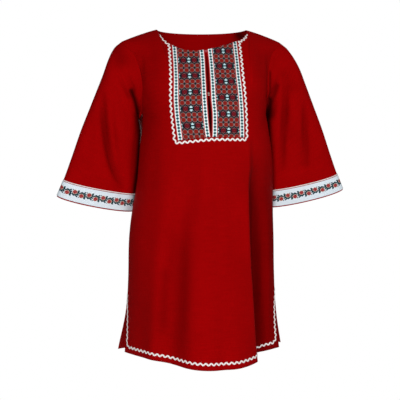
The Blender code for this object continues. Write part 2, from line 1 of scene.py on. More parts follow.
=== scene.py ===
"""Looks of the tunic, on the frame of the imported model.

Metres, +Z up, the front towards -Y. Left and right are the viewer's. A place
on the body is given by `across`, from -1 at the left side to 1 at the right
side, or by x, and by its height. The formulas of the cloth's form are those of
the solids, worked out for whole arrays of points at once.
"""

import math

import bpy
import numpy as np
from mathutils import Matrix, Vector
from mathutils.bvhtree import BVHTree


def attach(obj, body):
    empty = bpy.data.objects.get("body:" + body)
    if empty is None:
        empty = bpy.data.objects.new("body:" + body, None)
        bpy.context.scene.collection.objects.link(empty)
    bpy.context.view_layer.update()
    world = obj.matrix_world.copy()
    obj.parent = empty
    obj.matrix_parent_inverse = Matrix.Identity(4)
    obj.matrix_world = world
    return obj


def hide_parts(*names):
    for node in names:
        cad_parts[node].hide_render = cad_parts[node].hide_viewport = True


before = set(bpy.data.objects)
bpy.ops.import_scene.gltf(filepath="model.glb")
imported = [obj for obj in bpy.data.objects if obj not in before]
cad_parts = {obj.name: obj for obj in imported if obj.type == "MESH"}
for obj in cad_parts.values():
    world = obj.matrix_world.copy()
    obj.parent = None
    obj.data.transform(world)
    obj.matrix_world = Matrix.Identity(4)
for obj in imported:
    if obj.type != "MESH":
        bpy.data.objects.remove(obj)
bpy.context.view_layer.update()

# Cloth, trim and the gap below the trim
WALL = 0.0012
TRIM = 0.001
GAP = 0.0003

# Millimetres in a metre, for the tables of creases, and limits of the arithmetic
MILLIMETRES = 1000.0
NORMAL_STEP = 0.0015
SMALLEST = 1e-12
LEAST_AREA = 1e-9
ACROSS_ROUNDS = 12

# Side of y for each face, and of x for left and right
SIGN = {"front": -1.0, "back": 1.0, "left": -1.0, "right": 1.0}

# Neck, shoulders and armholes
NECK_HALF = 0.1047
NECK_DROP = 0.059
NECK_DEPTH = {"front": 0.075, "back": 0.055}
NECK_TILT = 0.17
SHOULDER_HALF = 0.187
SHOULDER_DROP = 0.0285
SHOULDER_CURVE = 1.18
SHOULDER_FALL = 0.14
SHOULDER_ROUND = 0.62
UNDERARM = -0.195
LEAN = 0.027

# Hem and side slits
HEM = {"front": -0.773, "back": -0.768}
HEM_RISE = 0.026
HEM_LOW = {"front": 0.12, "back": 0.0}
HEM_SPREAD = {"left": 0.85, "right": 0.68}
SLIT_TOP = -0.622
SLIT_SPREAD = {"front": 0.010, "back": 0.022}
SLIT_FLARE = {"front": -0.008, "back": 0.006}

# Neck slit, with half its opening at each height
NECK_SLIT_HALF = 0.009
NECK_SLIT_END = -0.259
SLIT_GAP = (
    ("height", "half"),
    (-0.058, 0.0006),
    (-0.100, 0.0005),
    (-0.160, 0.0008),
    (-0.185, 0.0024),
    (-0.215, 0.0030),
    (-0.245, 0.0018),
    (-0.259, 0.0002),
)
SLIT_REACH = 0.012
SLIT_MARGIN = 0.002

# Body sections and folds
SECTIONS = (
    ("height", "half", "shift", "front", "back", "armhole", "round"),
    (0.010, 0.187, 0.000, 0.112, 0.088, 0.050, 60),
    (-0.030, 0.187, 0.000, 0.113, 0.091, 0.050, 60),
    (-0.060, 0.164, 0.000, 0.115, 0.095, 0.050, 62),
    (-0.100, 0.151, 0.001, 0.118, 0.102, 0.050, 65),
    (-0.150, 0.147, 0.003, 0.121, 0.106, 0.040, 72),
    (-0.195, 0.147, 0.006, 0.123, 0.106, 0.000, 90),
    (-0.230, 0.148, 0.008, 0.122, 0.104, 0.000, 90),
    (-0.270, 0.154, 0.009, 0.120, 0.100, 0.000, 90),
    (-0.310, 0.158, 0.010, 0.118, 0.096, 0.000, 90),
    (-0.355, 0.161, 0.009, 0.118, 0.092, 0.000, 90),
    (-0.430, 0.168, 0.003, 0.121, 0.093, 0.000, 90),
    (-0.490, 0.172, 0.001, 0.125, 0.098, 0.000, 90),
    (-0.585, 0.174, 0.001, 0.134, 0.106, 0.000, 90),
    (-0.680, 0.181, 0.001, 0.142, 0.113, 0.000, 78),
    (-0.780, 0.196, 0.002, 0.150, 0.119, 0.000, 62),
)
MIDDLE_HALF = 0.155
FULLNESS = 2.3
FOLDS = (
    ("front", -0.230, -0.30, -0.56, 0.15, 0.022),
    ("front", -0.300, -0.62, -0.80, 0.09, -0.007),
    ("front", -0.420, 0.10, 0.16, 0.12, 0.006),
    ("back", -0.260, -0.42, -0.52, 0.13, 0.020),
    ("back", -0.340, 0.05, 0.02, 0.11, 0.012),
    ("back", -0.240, 0.46, 0.55, 0.14, 0.024),
)
FOLD_FULL = 0.25
DEEP_FOLD = (
    ("height", "ridge", "wall", "share"),
    (-0.255, 0.500, 0.10, 0.00),
    (-0.310, 0.505, 0.10, 0.08),
    (-0.400, 0.520, 0.10, 0.22),
    (-0.490, 0.535, 0.11, 0.38),
    (-0.585, 0.575, 0.11, 0.55),
    (-0.680, 0.612, 0.12, 0.68),
    (-0.780, 0.645, 0.12, 0.76),
)

# Sleeves
SLEEVE = (
    ("share", "outer_x", "outer_z", "space", "half_depth"),
    (0.000, 0.1870, -0.0300, 0.0000, 0.050),
    (0.062, 0.2060, -0.0455, 0.0070, 0.052),
    (0.158, 0.2250, -0.0765, 0.0074, 0.051),
    (0.279, 0.2430, -0.1207, 0.0065, 0.046),
    (0.437, 0.2655, -0.1775, 0.0055, 0.039),
    (0.594, 0.2880, -0.2347, 0.0050, 0.033),
    (0.775, 0.3107, -0.3008, 0.0050, 0.028),
    (0.907, 0.3280, -0.3485, 0.0055, 0.025),
    (1.000, 0.3418, -0.3819, 0.0060, 0.024),
)
SLEEVE_SWING = {"left": -0.006, "right": 0.005}
SLEEVE_OUTER = 0.387
SLEEVE_INNER = 0.2255
SLEEVE_BOW = 0.01
ARMHOLE_FADE = 0.25
SLEEVE_TUCK = 0.07
TUCK_FADE = 0.17
SLEEVE_FOLDS = (
    ("left", "front", 0.18, 1.02, 0.24, 0.92, 0.10, 0.006),
    ("left", "back", 0.20, 0.98, 0.35, 0.70, 0.12, 0.006),
    ("right", "front", 0.22, 0.95, 0.62, 0.46, 0.11, 0.005),
    ("right", "back", 0.15, 1.00, 0.40, 0.75, 0.12, 0.006),
)
PLEAT = (
    ("share", "turn", "depth"),
    (0.01, 0.650, 0.000),
    (0.05, 0.635, 0.015),
    (0.10, 0.610, 0.018),
    (0.16, 0.580, 0.017),
    (0.22, 0.565, 0.015),
    (0.30, 0.565, 0.013),
    (0.45, 0.565, 0.000),
)
PLEAT_HALF = 0.03
PLEAT_BACK = 0.9
CUFF_EDGE = 0.0025
CUFF_BAND = 0.035
CUFF_SPACE = 0.0012
CUFF_EDGING = 0.002
SLEEVE_GIRTH = (0.34, 0.36)
SLEEVE_RINGS = [0.0, 0.0012, CUFF_EDGE, 0.008, 0.014, 0.020, 0.026, 0.032]
EDGING_PROFILE = ((0.0, 0.0), (0.1, 0.7), (0.35, 1.0), (0.65, 1.0), (0.9, 0.7), (1.0, 0.0))

# Creases in millimetres: half width, depth (ridges below 0), where deepest, (x, height) places of the line
CREASES = {
    "front": (
        (6, 2, "middle", (-146, -60), (-147, -110), (-148, -160)),
        (6, 2, "middle", (148, -60), (149, -110), (150, -160)),
        (4, 2, "start", (148, -165), (145, -118)),
        (8, 12, "middle", (-235.7, -150), (-231, -214), (-221.7, -271), (-212.3, -312.6), (-198.3, -347),
         (-176, -372)),
        (10, -3.4, "middle", (-216, -180), (-207, -262), (-190, -330)),
        (10, 1.2, "middle", (-256, -200), (-262, -340)),
        (8, 9, "middle", (194.5, -85), (196, -200), (194, -335)),
        (10, -1.6, "middle", (218, -120), (223, -330)),
        (8, 8, "middle", (244, -160), (249, -330)),
        (12, 1.4, "middle", (-126, -20), (-122, -130)),
        (12, 1.4, "middle", (126, -20), (124, -125)),
        (10, 1.6, "start", (-142, -195), (-104, -245)),
        (10, 2, "start", (150, -200), (118, -250)),
        (12, 1.6, "middle", (-118, -250), (-126, -420)),
        (11, 1.2, "middle", (-30, -285), (-34, -470)),
        (12, 1, "middle", (6, -290), (10, -560)),
        (12, 1.2, "middle", (38, -300), (48, -620)),
        (12, 2.2, "end", (-134, -560), (-146, -760)),
        (16, 26, "middle", (106, -330), (120, -440), (127, -540), (130, -790)),
        (9, -4, "middle", (146, -420), (152, -560), (156, -740)),
        (10, -3.4, "middle", (83, -380), (84, -450), (88, -560)),
        (18, 6.2, "middle", (-66, -430), (-71, -580), (-76, -780)),
    ),
    "back": (
        (6, 2, "middle", (-147, -60), (-148, -160)),
        (6, 2, "middle", (148, -60), (150, -160)),
        (6, 4.5, "start", (-176, -165), (-196, -112)),
        (6, 4.2, "start", (172, -162), (184, -105)),
        (7, 4, "start", (178, -172), (206, -128)),
        (9, 3.4, "middle", (-224, -130), (-232, -250), (-216, -350)),
        (9, 3.4, "middle", (222, -120), (236, -240), (226, -350)),
        (9, 2.2, "middle", (262, -210), (276, -345)),
        (12, 2.2, "start", (-140, -200), (-80, -290)),
        (12, 2.4, "start", (142, -200), (88, -280)),
        (14, 1.6, "middle", (-112, -70), (-100, -190)),
        (13, 1.6, "middle", (108, -65), (98, -200)),
        (14, 1.4, "middle", (-30, -180), (-36, -420)),
        (13, 1.6, "middle", (34, -240), (40, -560)),
        (12, 3, "end", (128, -480), (136, -740)),
        (12, 2.6, "end", (-136, -520), (-148, -745)),
        (3.5, 1, "start", (50, -8), (47, -50)),
        (3.5, 1.2, "start", (60, -6), (58, -48)),
        (3.5, 0.9, "start", (71, -4), (70, -44)),
    ),
    "sleeve_front": (
        (9, 3, "middle", (-168, -138), (-158, -180), (-152, -215), (-152, -260), (-158, -320),
         (-164, -372)),
        (5, 5, "start", (-165, -150), (-181, -104)),
        (6, 5, "start", (-170, -162), (-202, -110)),
        (8, 3, "middle", (162, -150), (158, -200), (162, -260), (168, -330)),
        (6, 7, "start", (160, -165), (188, -94)),
        (8, 5, "start", (165, -200), (174, -150)),
    ),
}

# Painted shade in creases and behind the deep fold, and the cloth's weave, dye and relief
HOLLOW_FULL = 0.013
HOLLOW_SHARE = 0.5
FOLD_GREYS = ((0.0, 1.0), (0.5, 0.5), (1.0, 0.1))
BEHIND_FULL = 0.22
BEHIND_PAST = 1.2
BEHIND_FADE = 0.35
WEAVE_PITCH = 0.0009
SLUB_STRETCH = (28.0, 420.0, 1.0)
THREAD_STRETCH = (900.0, 900.0, 1.0)
DYE_SCALE = 9.0
SLUB_RELIEF = 1.6
CLOTH_RELIEF = 0.00012
REDS = ((0.25, (0.288, 0.0004, 0.0008)), (0.75, (0.343, 0.0007, 0.0014)))

# Wear, fluff and twist of stitches, braid and thread, and painted shade in the braid's grooves
WEAR_SCALE = 1.7
FLUFF_SCALE = 260.0
PLY_SCALE = 2400.0
PLY_SHADE = 0.6
BRAID_RELIEF = 0.00018
PLY_RELIEF = 0.0001
STRAND_TINTS_AND_GROOVE_SHADE = ((0.0, (0.88, 0.78, 0.76)), (0.8, (0.98, 0.96, 0.94)))
FLUFF_TINTS = ((0.3, (0.95, 0.93, 0.93)), (0.7, (1.0, 1.0, 1.0)))

# Painted shade on the cloth, deep between pieces and soft on some broad areas: half width in millimetres,
# share, and places as above
SHADES = {
    "front": (
        (2.4, 0.95, (-4.5, -78), (-4.8, -125), (-5.3, -162)),
        (14, 0.2, (-100, -560), (-104, -680)),
    ),
    "back": (
        (7, 0.8, (94, -4), (106, -14)),
    ),
    "sleeve_front": (
        (5.5, 1.0, (-168, -150), (-157, -178), (-147, -206), (-142.5, -235), (-143.5, -270), (-148, -320),
         (-155, -372), (-158, -410)),
        (10.5, 0.85, (-148, -205), (-142, -245)),
        (18, 0.3, (-204, -45), (-192, -80)),
        (3.2, 0.6, (156, -100), (156, -130), (159, -180)),
        (8, 1.0, (163, -165), (158, -205)),
        (6, 0.9, (160, -205), (163, -260), (170, -330), (174, -400)),
        (6, 0.6, (176, -130), (166, -165)),
        (16, 0.2, (196, -105), (206, -135)),
        (12, 0.22, (247.5, -250), (250, -310)),
    ),
}

# Placket, with how far each of its lines bends sideways at each height
RIBBON = 0.0118
PANEL = 0.048
PLACKET_INNER = 0.0035
PLACKET_STEP = 0.0004
PLACKET_BOTTOM = -0.2605
PLACKET_SLOPE = {"left": 0.080, "right": -0.015}
PLACKET_TRIM = 0.082
PLACKET_FOOT = 0.0057
PLACKET_CORNER = 0.01
PLACKET_REACH = (0.012, 0.292)
PLACKET_BELOW = 0.0006
PLACKET_TURN = 0.012
PLACKET_STEPS = 12
PANEL_START = 10
PLACKET_LINE = (
    ("height", "middle"),
    (-0.030, -0.0047),
    (-0.085, -0.0041),
    (-0.125, -0.0048),
    (-0.175, -0.0054),
    (-0.210, -0.0031),
    (-0.245, -0.0010),
    (-0.290, 0.0020),
)
PLACKET_BEND = (
    ("height", "left_outer", "left_inner", "right_inner", "right_outer"),
    (-0.048, 0.0018, -0.0001, -0.0002, 0.0004),
    (-0.084, 0.0000, -0.0001, 0.0005, -0.0010),
    (-0.122, -0.0007, -0.0008, 0.0009, -0.0010),
    (-0.150, -0.0010, -0.0007, 0.0010, 0.0012),
    (-0.178, -0.0008, -0.0007, 0.0008, 0.0034),
    (-0.210, -0.0006, -0.0010, 0.0010, 0.0032),
    (-0.244, 0.0013, 0.0005, -0.0006, 0.0024),
    (-0.262, 0.0026, 0.0022, -0.0022, 0.0016),
)

# Charts: a stitch is one letter, and a letter's colour is in THREADS
PANEL_PITCH = {"left": (-0.0853, 0.0374), "right": (-0.0637, 0.0366)}
DISC_QUARTER = """
kkkkkggg
kkkggRRR
kkgRRRRR
kgRRRRRR
kgRRRRRR
ggRRRRRR
ggRRRRRR
""".split()
STAR_QUARTER = """
kkkkkkkk
kkkkkkkg
kmkkkkgm
kmmkkgmm
kmmmgmmm
kkmmmmmm
kkkmmmkm
kmmmmkmm
kmmmmmmR
kmmmmmRR
""".split()
DIAMOND_QUARTER = """
kkkkkkkk
kkkkkkgg
gkkkkgkb
kgkkgkbb
kkggkbbb
kkkgbbbb
kkkkbbbw
kkkkbbbb
kkkkkkkk
kkkkkkkk
""".split()
EDGE_QUARTER = """
kkkkkkkk
gkkkkkkk
kgkkkkkg
bkgkkkgk
bbkgkgkk
bbkkgkkk
wbbkkkkk
bbbkkkkk
kkkkkkkk
kkkkkkkk
""".split()
RIBBON_PITCH = 0.007
RIBBON_CHART = """
rrwwccctkcccwwrr
rrwwcckkkkccwwrr
rrwwckkkkkkcwwrr
rrwckkkkkkkkcwrr
rrwckkkkkkkkcwrr
rrwckkkkkkkkcwrr
rrwwckkkkkkcwwrr
rrwwcckkkkccwwrr
rrwwccctkcccwwrr
rrwwccccccccwwrr
""".split()
ROSE_CHART = """
k..................kkkk.
kkk...eeeeee......kkkktk
kkkkeeerrrreee...kkkttkk
.kkeerrrrrrrree.kkkttkkk
..eerrrpprrrrreekkktkkk.
.eerrrpppprrrrreekttkkk.
.errrpprrpprrrrrekkkkkkk
.errpprrrpprrrrrekkkkkkk
.errpprrrrrrpprrekkktkkk
.errrpprrrrppprreekktkkk
.eerrrrrrpppprreekkkkkk.
k.eerrrrrrpprreekkkkkk..
kk.eerrrrrrrreekkttkkk..
kkkkeeerrrreeekkttkkkkkk
ktkkkkeeeeeekkkkttkkktkk
kkttkkkkkkkkkkkttkkkkkkk
.kkkttkkkkkkttkkkk.kkkkk
..kkkkkkttttkkkkkk...kk.
...kkkkkkkkkkkkkkkkk....
.....kkkkkkkk.kktkkkk...
......kkkk.....kkttkkk..
................kkkkkk..
..................kkk...
........................
""".split()
ROSE_HALVES = 24
ROSE_BELOW = 14
ROSE_ABOVE = 12
# Share of the painted shade that darkens the cuff band's stitch colours
BAND_SHADE = 0.8
THREADS = {
    "R": (0.245, 0.012, 0.008),
    "m": (0.150, 0.004, 0.012),
    "g": (0.260, 0.210, 0.200),
    "k": (0.005, 0.010, 0.016),
    "t": (0.080, 0.260, 0.280),
    "b": (0.480, 0.760, 0.820),
    "w": (0.930, 0.970, 0.960),
    "c": (0.700, 0.900, 0.890),
    "r": (0.640, 0.090, 0.090),
    "p": (0.620, 0.150, 0.140),
    "e": (0.800, 0.660, 0.560),
    ".": (0.760, 0.850, 0.920),
}
RIBBON_THREADS = {"k": (0.012, 0.070, 0.095)}
ROSE_THREADS = {"k": (0.004, 0.026, 0.040), "t": (0.030, 0.120, 0.120), "r": (0.280, 0.012, 0.018),
                "p": (0.480, 0.090, 0.090), "e": (0.700, 0.520, 0.430)}

# Ric-rac braid
RICRAC_WAVE = 0.012
RICRAC_SWING = 0.0019
RICRAC_HALF = 0.0018
RICRAC_RISE = 0.0008
RICRAC_NECK = 0.005
RICRAC_HEM = 0.014
RICRAC_SLIT = 0.008
RICRAC_STEPS = 16
RICRAC_SPAN = 7
RICRAC_THREAD = 0.0011
RICRAC_EDGE = 0.35
OUT_FROM_MIDDLE = 0.1
RICRAC_PASSES = 6
SIDE_STEPS = 150
SIDE_STEP = 0.002
NECK_STEPS = 8
SLIT_STEPS = 12
HEM_STEPS = 120

# Neck loop and thread bar
LOOP_DROP = 0.004
LOOP_SIZE = (0.0028, 0.0024)
LOOP_THREAD = 0.00045
LOOP_STEPS = 24
TIE_STEPS = 6
TIE_ACROSS = (-0.0016, 0.0040)
TIE_UP = (-0.0012, 0.0022)
TIE_OUT = 0.0004
TIE_RISE = 0.0007
BAR_HEIGHT = -0.166
BAR_SPACING = 0.0022
BAR_HALF = 0.0022
BAR_THREAD = 0.00034
BAR_STEPS = 8
BAR_RISE = 0.0005

# How finely the cloth is divided
LEFT_CELLS = 56
MIDDLE_CELLS = 18
FOLD_CELLS = 22
FOLD_MARGIN = 0.035
RIGHT_CELLS = 24
BACK_CELLS = 110
ROWS_BELOW = 92
ROWS_ABOVE = 84
ROW_CROWDING = 1.35
RING_POINTS = 112
SLEEVE_ROWS = 84
RING_CROWDING = 1.1
EVEN_STEPS = 720
EVEN_SHARE = 0.95

# Camera, floor and light
CAMERA_TARGET = (-0.004, 0.0, -0.40)
CAMERA_TURN = -10.0
CAMERA_DISTANCE = 2.0
CAMERA_HALF_VIEW = 0.47
FLOOR_HEIGHT = -1.40
FLOOR_RADIUS = 2.2
FLOOR_SIDES = 96
GLOW = 0.09
LIGHT_GOAL = (0.0, 0.0, -0.40)
LIGHTS = (
    ("key", (-0.8, -2.5, 0.0), 0.8, 38.5),
    ("fill", (1.0, -2.5, 0.4), 0.8, 26.0),
    ("back", (0.6, 2.4, 0.2), 1.6, 40.0),
)


def lerp(a, b, share):
    """Value at a share of the way from a to b."""
    return a + (b - a) * share


def smooth(share):
    """Soft step from 0 to 1."""
    share = np.clip(share, 0.0, 1.0)
    return share * share * (3.0 - 2.0 * share)


def steps(count):
    """Equal steps from 0 to 1, both included."""
    return [n / count for n in range(count + 1)]


def along(table, column, at):
    """Smooth curve through one column of a table, by its first column."""
    rows = np.array(sorted(table[1:]), float)
    x = rows[:, 0]
    y = rows[:, table[0].index(column)]
    low = np.maximum(np.arange(len(x)) - 1, 0)
    high = np.minimum(np.arange(len(x)) + 1, len(x) - 1)
    slopes = (y[high] - y[low]) / (x[high] - x[low])
    at = np.clip(at, x[0], x[-1])
    i = np.clip(np.searchsorted(x, at, side="right") - 1, 0, len(x) - 2)
    span = x[i + 1] - x[i]
    t = (at - x[i]) / span
    step = y[i + 1] - y[i]
    bend = t * (1 - t) * ((1 - t) * (slopes[i] * span - step) - t * (slopes[i + 1] * span - step))
    return y[i] + step * t + bend


def unit(vectors):
    """The vectors at length 1."""
    return vectors / np.maximum(SMALLEST, np.linalg.norm(vectors, axis=-1, keepdims=True))


def runs_along(points):
    """Length from the start of a line to each of its points."""
    return np.concatenate([[0.0], np.cumsum(np.linalg.norm(np.diff(points, axis=0), axis=-1))])


def section(column, height):
    """Value of the body's sections at a height."""
    return along(SECTIONS, column, height)


def deep(column, height):
    """Value of the front's deep fold at a height."""
    return along(DEEP_FOLD, column, height)


def slit_share(face, height):
    """0 above the side slits and 1 at the hem."""
    return smooth((SLIT_TOP - height) / (SLIT_TOP - HEM[face]))


def half_width(face, height):
    """Half the body's width, with the panels' flare beside the side slits."""
    return section("half", height) + SLIT_FLARE[face] * slit_share(face, height)


def place_x(face, across, height):
    """Sideways place, where only the parts near the sides follow the width."""
    side = half_width(face, height) - MIDDLE_HALF
    return section("shift", height) + MIDDLE_HALF * across + side * across ** 3


def across_at(face, x, height):
    """The `across` value whose point lies at x."""
    value = x / MIDDLE_HALF
    side = half_width(face, height) - MIDDLE_HALF
    for _ in range(ACROSS_ROUNDS):
        error = place_x(face, value, height) - x
        value = value - error / (MIDDLE_HALF + 3 * side * value * value)
    return value


def top_x(across):
    """Sideways place of a column's upper end, on the neckline or shoulder."""
    return MIDDLE_HALF * across + (SHOULDER_HALF - MIDDLE_HALF) * across ** 3


def neck_share(across):
    """1 at the middle of the neckline and 0 from the neck points outwards."""
    return np.sqrt(np.maximum(0.0, 1.0 - (top_x(across) / NECK_HALF) ** 2))


def top_height(face, across):
    """Height of the neckline, and of the shoulder seam outside it."""
    x = top_x(across)
    out = np.maximum(0.0, np.abs(x) - NECK_HALF) / (SHOULDER_HALF - NECK_HALF)
    height = -SHOULDER_DROP * out ** SHOULDER_CURVE
    if face == "front":
        share = neck_share(across)
        height = height - NECK_DROP * share + NECK_TILT * x * share * share
    return height


def hem_height(face, across):
    """Height of the hem, which rises towards the side slits."""
    away = across - HEM_LOW[face]
    reach = np.where(away < 0.0, HEM_SPREAD["left"], HEM_SPREAD["right"])
    return HEM[face] + HEM_RISE * (1.0 - np.exp(-np.abs(away / reach) ** 3))


def fold_depth(face, across, height):
    """How far the soft folds draw the cloth in."""
    total = np.zeros(np.broadcast(across, height).shape)
    for on, start, across_top, across_hem, half, depth in FOLDS:
        if on != face:
            continue
        down = np.maximum(0.0, (start - height) / (start - HEM[face]))
        middle = lerp(across_top, across_hem, down ** 0.8)
        growth = smooth((start - height) / FOLD_FULL) * lerp(0.6, 1.0, down)
        total = total + depth * growth * np.exp(-((across - middle) / half) ** 2)
    return total


def body_depth(face, across, height):
    """Depth of front or back below the shoulders, folds included."""
    edge = section("armhole", height) + SLIT_SPREAD[face] * slit_share(face, height)
    turn = np.radians(np.minimum(90.0, section("round", height)))
    ratio = np.minimum(1.0, np.abs(across)) ** (FULLNESS / 2) * np.sin(turn)
    bulge = (np.sqrt(np.maximum(0.0, 1.0 - ratio * ratio)) - np.cos(turn)) / (1.0 - np.cos(turn))
    depth = edge + (section(face, height) - edge) * bulge
    depth = depth - fold_depth(face, across, height) * np.minimum(1.0, bulge * 2.0)
    if face == "front":
        behind = smooth((across - deep("ridge", height)) / deep("wall", height))
        depth = edge + (depth - edge) * (1.0 - deep("share", height) * behind)
    return depth


def body_point(face, across, height):
    """Points of the body's outer surface."""
    across = np.asarray(across, float)
    height = np.asarray(height, float)
    drop = np.maximum(0.0, top_height(face, across) - height)
    start = NECK_DEPTH[face] * neck_share(across)
    rounding = lerp(SHOULDER_ROUND, 1.0, neck_share(across))
    fall = np.sin(math.pi / 2 * np.minimum(1.0, drop / SHOULDER_FALL)) ** rounding
    depth = lerp(start, body_depth(face, across, height), fall)
    x = place_x(face, across, height)
    lean = LEAN * x * smooth((height - HEM[face]) / -UNDERARM)
    return np.stack(np.broadcast_arrays(x, SIGN[face] * depth, height + lean), axis=-1)


def line_distance(points, x, height):
    """Distance in millimetres to a line of places, and how far along it the nearest place is."""
    x = x * MILLIMETRES
    height = height * MILLIMETRES
    best = np.full(np.shape(x), 1e9)
    run = np.zeros(np.shape(x))
    lengths = [math.dist(a, b) for a, b in zip(points, points[1:])]
    before = 0.0
    for a, b, length in zip(points, points[1:], lengths):
        t = ((x - a[0]) * (b[0] - a[0]) + (height - a[1]) * (b[1] - a[1])) / length ** 2
        t = np.clip(t, 0.0, 1.0)
        near = np.hypot(x - lerp(a[0], b[0], t), height - lerp(a[1], b[1], t))
        closer = near < best
        best = np.where(closer, near, best)
        run = np.where(closer, (before + t * length) / sum(lengths), run)
        before += length
    return best, run


def crease_reach(deepest, run):
    """Share of a crease's depth at each place along its line."""
    if deepest == "middle":
        return np.sin(math.pi * run) ** 0.8
    if deepest == "start":
        return np.cos(math.pi / 2 * run)
    return np.sin(math.pi / 2 * run) ** 1.5


def crease_depth(face, x, height):
    """How far the listed creases draw the cloth in."""
    total = np.zeros(np.shape(x))
    for half, depth, deepest, *points in CREASES[face]:
        near, run = line_distance(points, x, height)
        total = total + depth / MILLIMETRES * crease_reach(deepest, run) * np.exp(-(near / half) ** 2)
    return total


def grid_normals(points, ring=False):
    """Unit normals of a grid of points, from row and column directions."""
    if ring:
        wide = np.concatenate([points[:, -1:], points, points[:, :1]], axis=1)
        side = np.gradient(wide, axis=1)[:, 1:-1]
    else:
        side = np.gradient(points, axis=1)
    return unit(np.cross(side, np.gradient(points, axis=0)))


def turned_out(normals, outward):
    """The normals, all turned to the side that outward points to."""
    return normals * np.sign(np.sum(normals * outward))


def cloth_point(face, x, height):
    """Points and normals of the creased cloth at sideways places x."""

    def at(x, height):
        return body_point(face, across_at(face, x, height), height)

    side = at(x + NORMAL_STEP, height) - at(x - NORMAL_STEP, height)
    rise = at(x, height + NORMAL_STEP) - at(x, height - NORMAL_STEP)
    normals = unit(np.cross(side, rise)) * -SIGN[face]
    return at(x, height) - normals * crease_depth(face, x, height)[..., None], normals


def spread(start, end, cells):
    """Places after the start, in equal angles across the body."""
    first = math.asin(start)
    last = math.asin(end)
    return [math.sin(lerp(first, last, share)) for share in steps(cells)[1:]]


def placket_middle(height):
    """Sideways place of the placket's middle line."""
    return along(PLACKET_LINE, "middle", height)


def slit_middle(height):
    """The `across` value of the placket's middle line."""
    return float(across_at("front", placket_middle(height), height))


def places_across(face, share):
    """Places of a row's columns, which follow the neck slit and the deep fold on the front."""
    if face == "back":
        return [-1.0] + spread(-1.0, 1.0, BACK_CELLS)
    height = lerp(HEM[face], 0.0, share)
    slit = slit_middle(lerp(HEM[face], -NECK_DROP, share))
    fold_start = float(deep("ridge", height)) - FOLD_MARGIN
    fold_end = fold_start + float(deep("wall", height)) + 2 * FOLD_MARGIN
    places = [-1.0] + spread(-1.0, slit - NECK_SLIT_HALF, LEFT_CELLS) + [slit + NECK_SLIT_HALF]
    places += spread(slit + NECK_SLIT_HALF, fold_start, MIDDLE_CELLS)
    places += spread(fold_start, fold_end, FOLD_CELLS)
    return places + spread(fold_end, 1.0, RIGHT_CELLS)


def row_shares(face):
    """Shares of a column's height, hem to top, with a row at the neck slit's end."""
    end = (NECK_SLIT_END - HEM[face]) / (float(top_height(face, 0.0)) - HEM[face])
    below = [end * n / ROWS_BELOW for n in range(ROWS_BELOW)]
    return below + [lerp(end, 1.0, 1.0 - (1.0 - share) ** ROW_CROWDING) for share in steps(ROWS_ABOVE)]


def opened_slit(x, height):
    """Sideways places with the neck slit drawn open or shut."""
    built = MIDDLE_HALF * NECK_SLIT_HALF
    change = along(SLIT_GAP, "half", height) - built
    away = x - placket_middle(height)
    near = np.exp(-(np.maximum(0.0, np.abs(away) - built) / SLIT_REACH) ** 2)
    above = height > NECK_SLIT_END - SLIT_MARGIN
    return x + np.where(above, np.sign(away) * change * near, 0.0)


def hollow_shade(depth):
    """Painted shade at the bottom of a crease, from 0 to 1."""
    return HOLLOW_SHARE * np.clip(depth / HOLLOW_FULL, 0.0, 1.0)


def deep_shade(face, x, height):
    """Painted shade on the cloth along the listed lines, deep between pieces and soft elsewhere, from 0 to 1.
    """
    dark = np.zeros(np.shape(x))
    for half, share, *points in SHADES[face]:
        near, _ = line_distance(points, x, height)
        dark = np.maximum(dark, share * np.exp(-(near / half) ** 2))
    return dark


def behind_shade(face, across, height):
    """Painted shadow on the cloth behind the front's deep fold, from 0 to 1."""
    if face == "back":
        return np.zeros(np.broadcast(across, height).shape)
    past = (across - deep("ridge", height)) / deep("wall", height)
    fade = 1.0 - BEHIND_FADE * smooth((past - BEHIND_PAST) / BEHIND_PAST)
    return HOLLOW_SHARE * smooth(past * 1.6) * smooth(deep("share", height) / BEHIND_FULL) * fade


def body_grid(face):
    """Points of the creased front or back, with flat places for its weave and its painted shade."""
    shares = row_shares(face)
    across = np.array([places_across(face, share) for share in shares])
    share = np.array(shares)[:, None]
    height = lerp(hem_height(face, across), top_height(face, across), share)
    points = body_point(face, across, height)
    if face == "front":
        points[..., 0] = opened_slit(points[..., 0], height)
    x = place_x(face, across, height)
    normals = turned_out(grid_normals(points), (0.0, SIGN[face], 0.0))
    crease = crease_depth(face, x, height)
    # Painted shade: darker in creases, behind the deep fold and along the listed shade lines
    shade = np.maximum(hollow_shade(crease), behind_shade(face, across, height))
    shade = np.maximum(shade, deep_shade(face, x, height))
    points = points - normals * crease[..., None]
    steps = np.linalg.norm(np.diff(points, axis=1), axis=-1)
    runs = np.concatenate([np.zeros((len(shares), 1)), np.cumsum(steps, axis=1)], axis=1)
    runs -= runs.mean(axis=1, keepdims=True)
    return points, np.stack([runs, height], axis=-1), shade


def armhole_point(side, share):
    """Points of the armhole on front and back, shoulder (0) to underarm (1)."""
    across = np.full(np.shape(share), SIGN[side])
    return [body_point(face, across, lerp(top_height(face, across), UNDERARM, share))
            for face in ("front", "back")]


def sleeve_line(side, share):
    """Outer and inner line of a sleeve at shares of its length."""
    sign = SIGN[side]
    share = np.asarray(share, float)
    swing = SLEEVE_SWING[side] * smooth(share / ARMHOLE_FADE)
    outer_x = sign * (along(SLEEVE, "outer_x", share) + swing)
    outer_z = along(SLEEVE, "outer_z", share) + LEAN * outer_x
    inner_z = UNDERARM - SLEEVE_INNER * share
    beside = body_point("back", sign * (1.0 - SLEEVE_TUCK * smooth(share / TUCK_FADE)), inner_z)
    inner_x = beside[..., 0] + sign * along(SLEEVE, "space", share)
    inner_z = inner_z + LEAN * inner_x
    outer = np.stack([outer_x, np.zeros(share.shape), outer_z], axis=-1)
    return outer, np.stack([inner_x, beside[..., 1], inner_z], axis=-1)


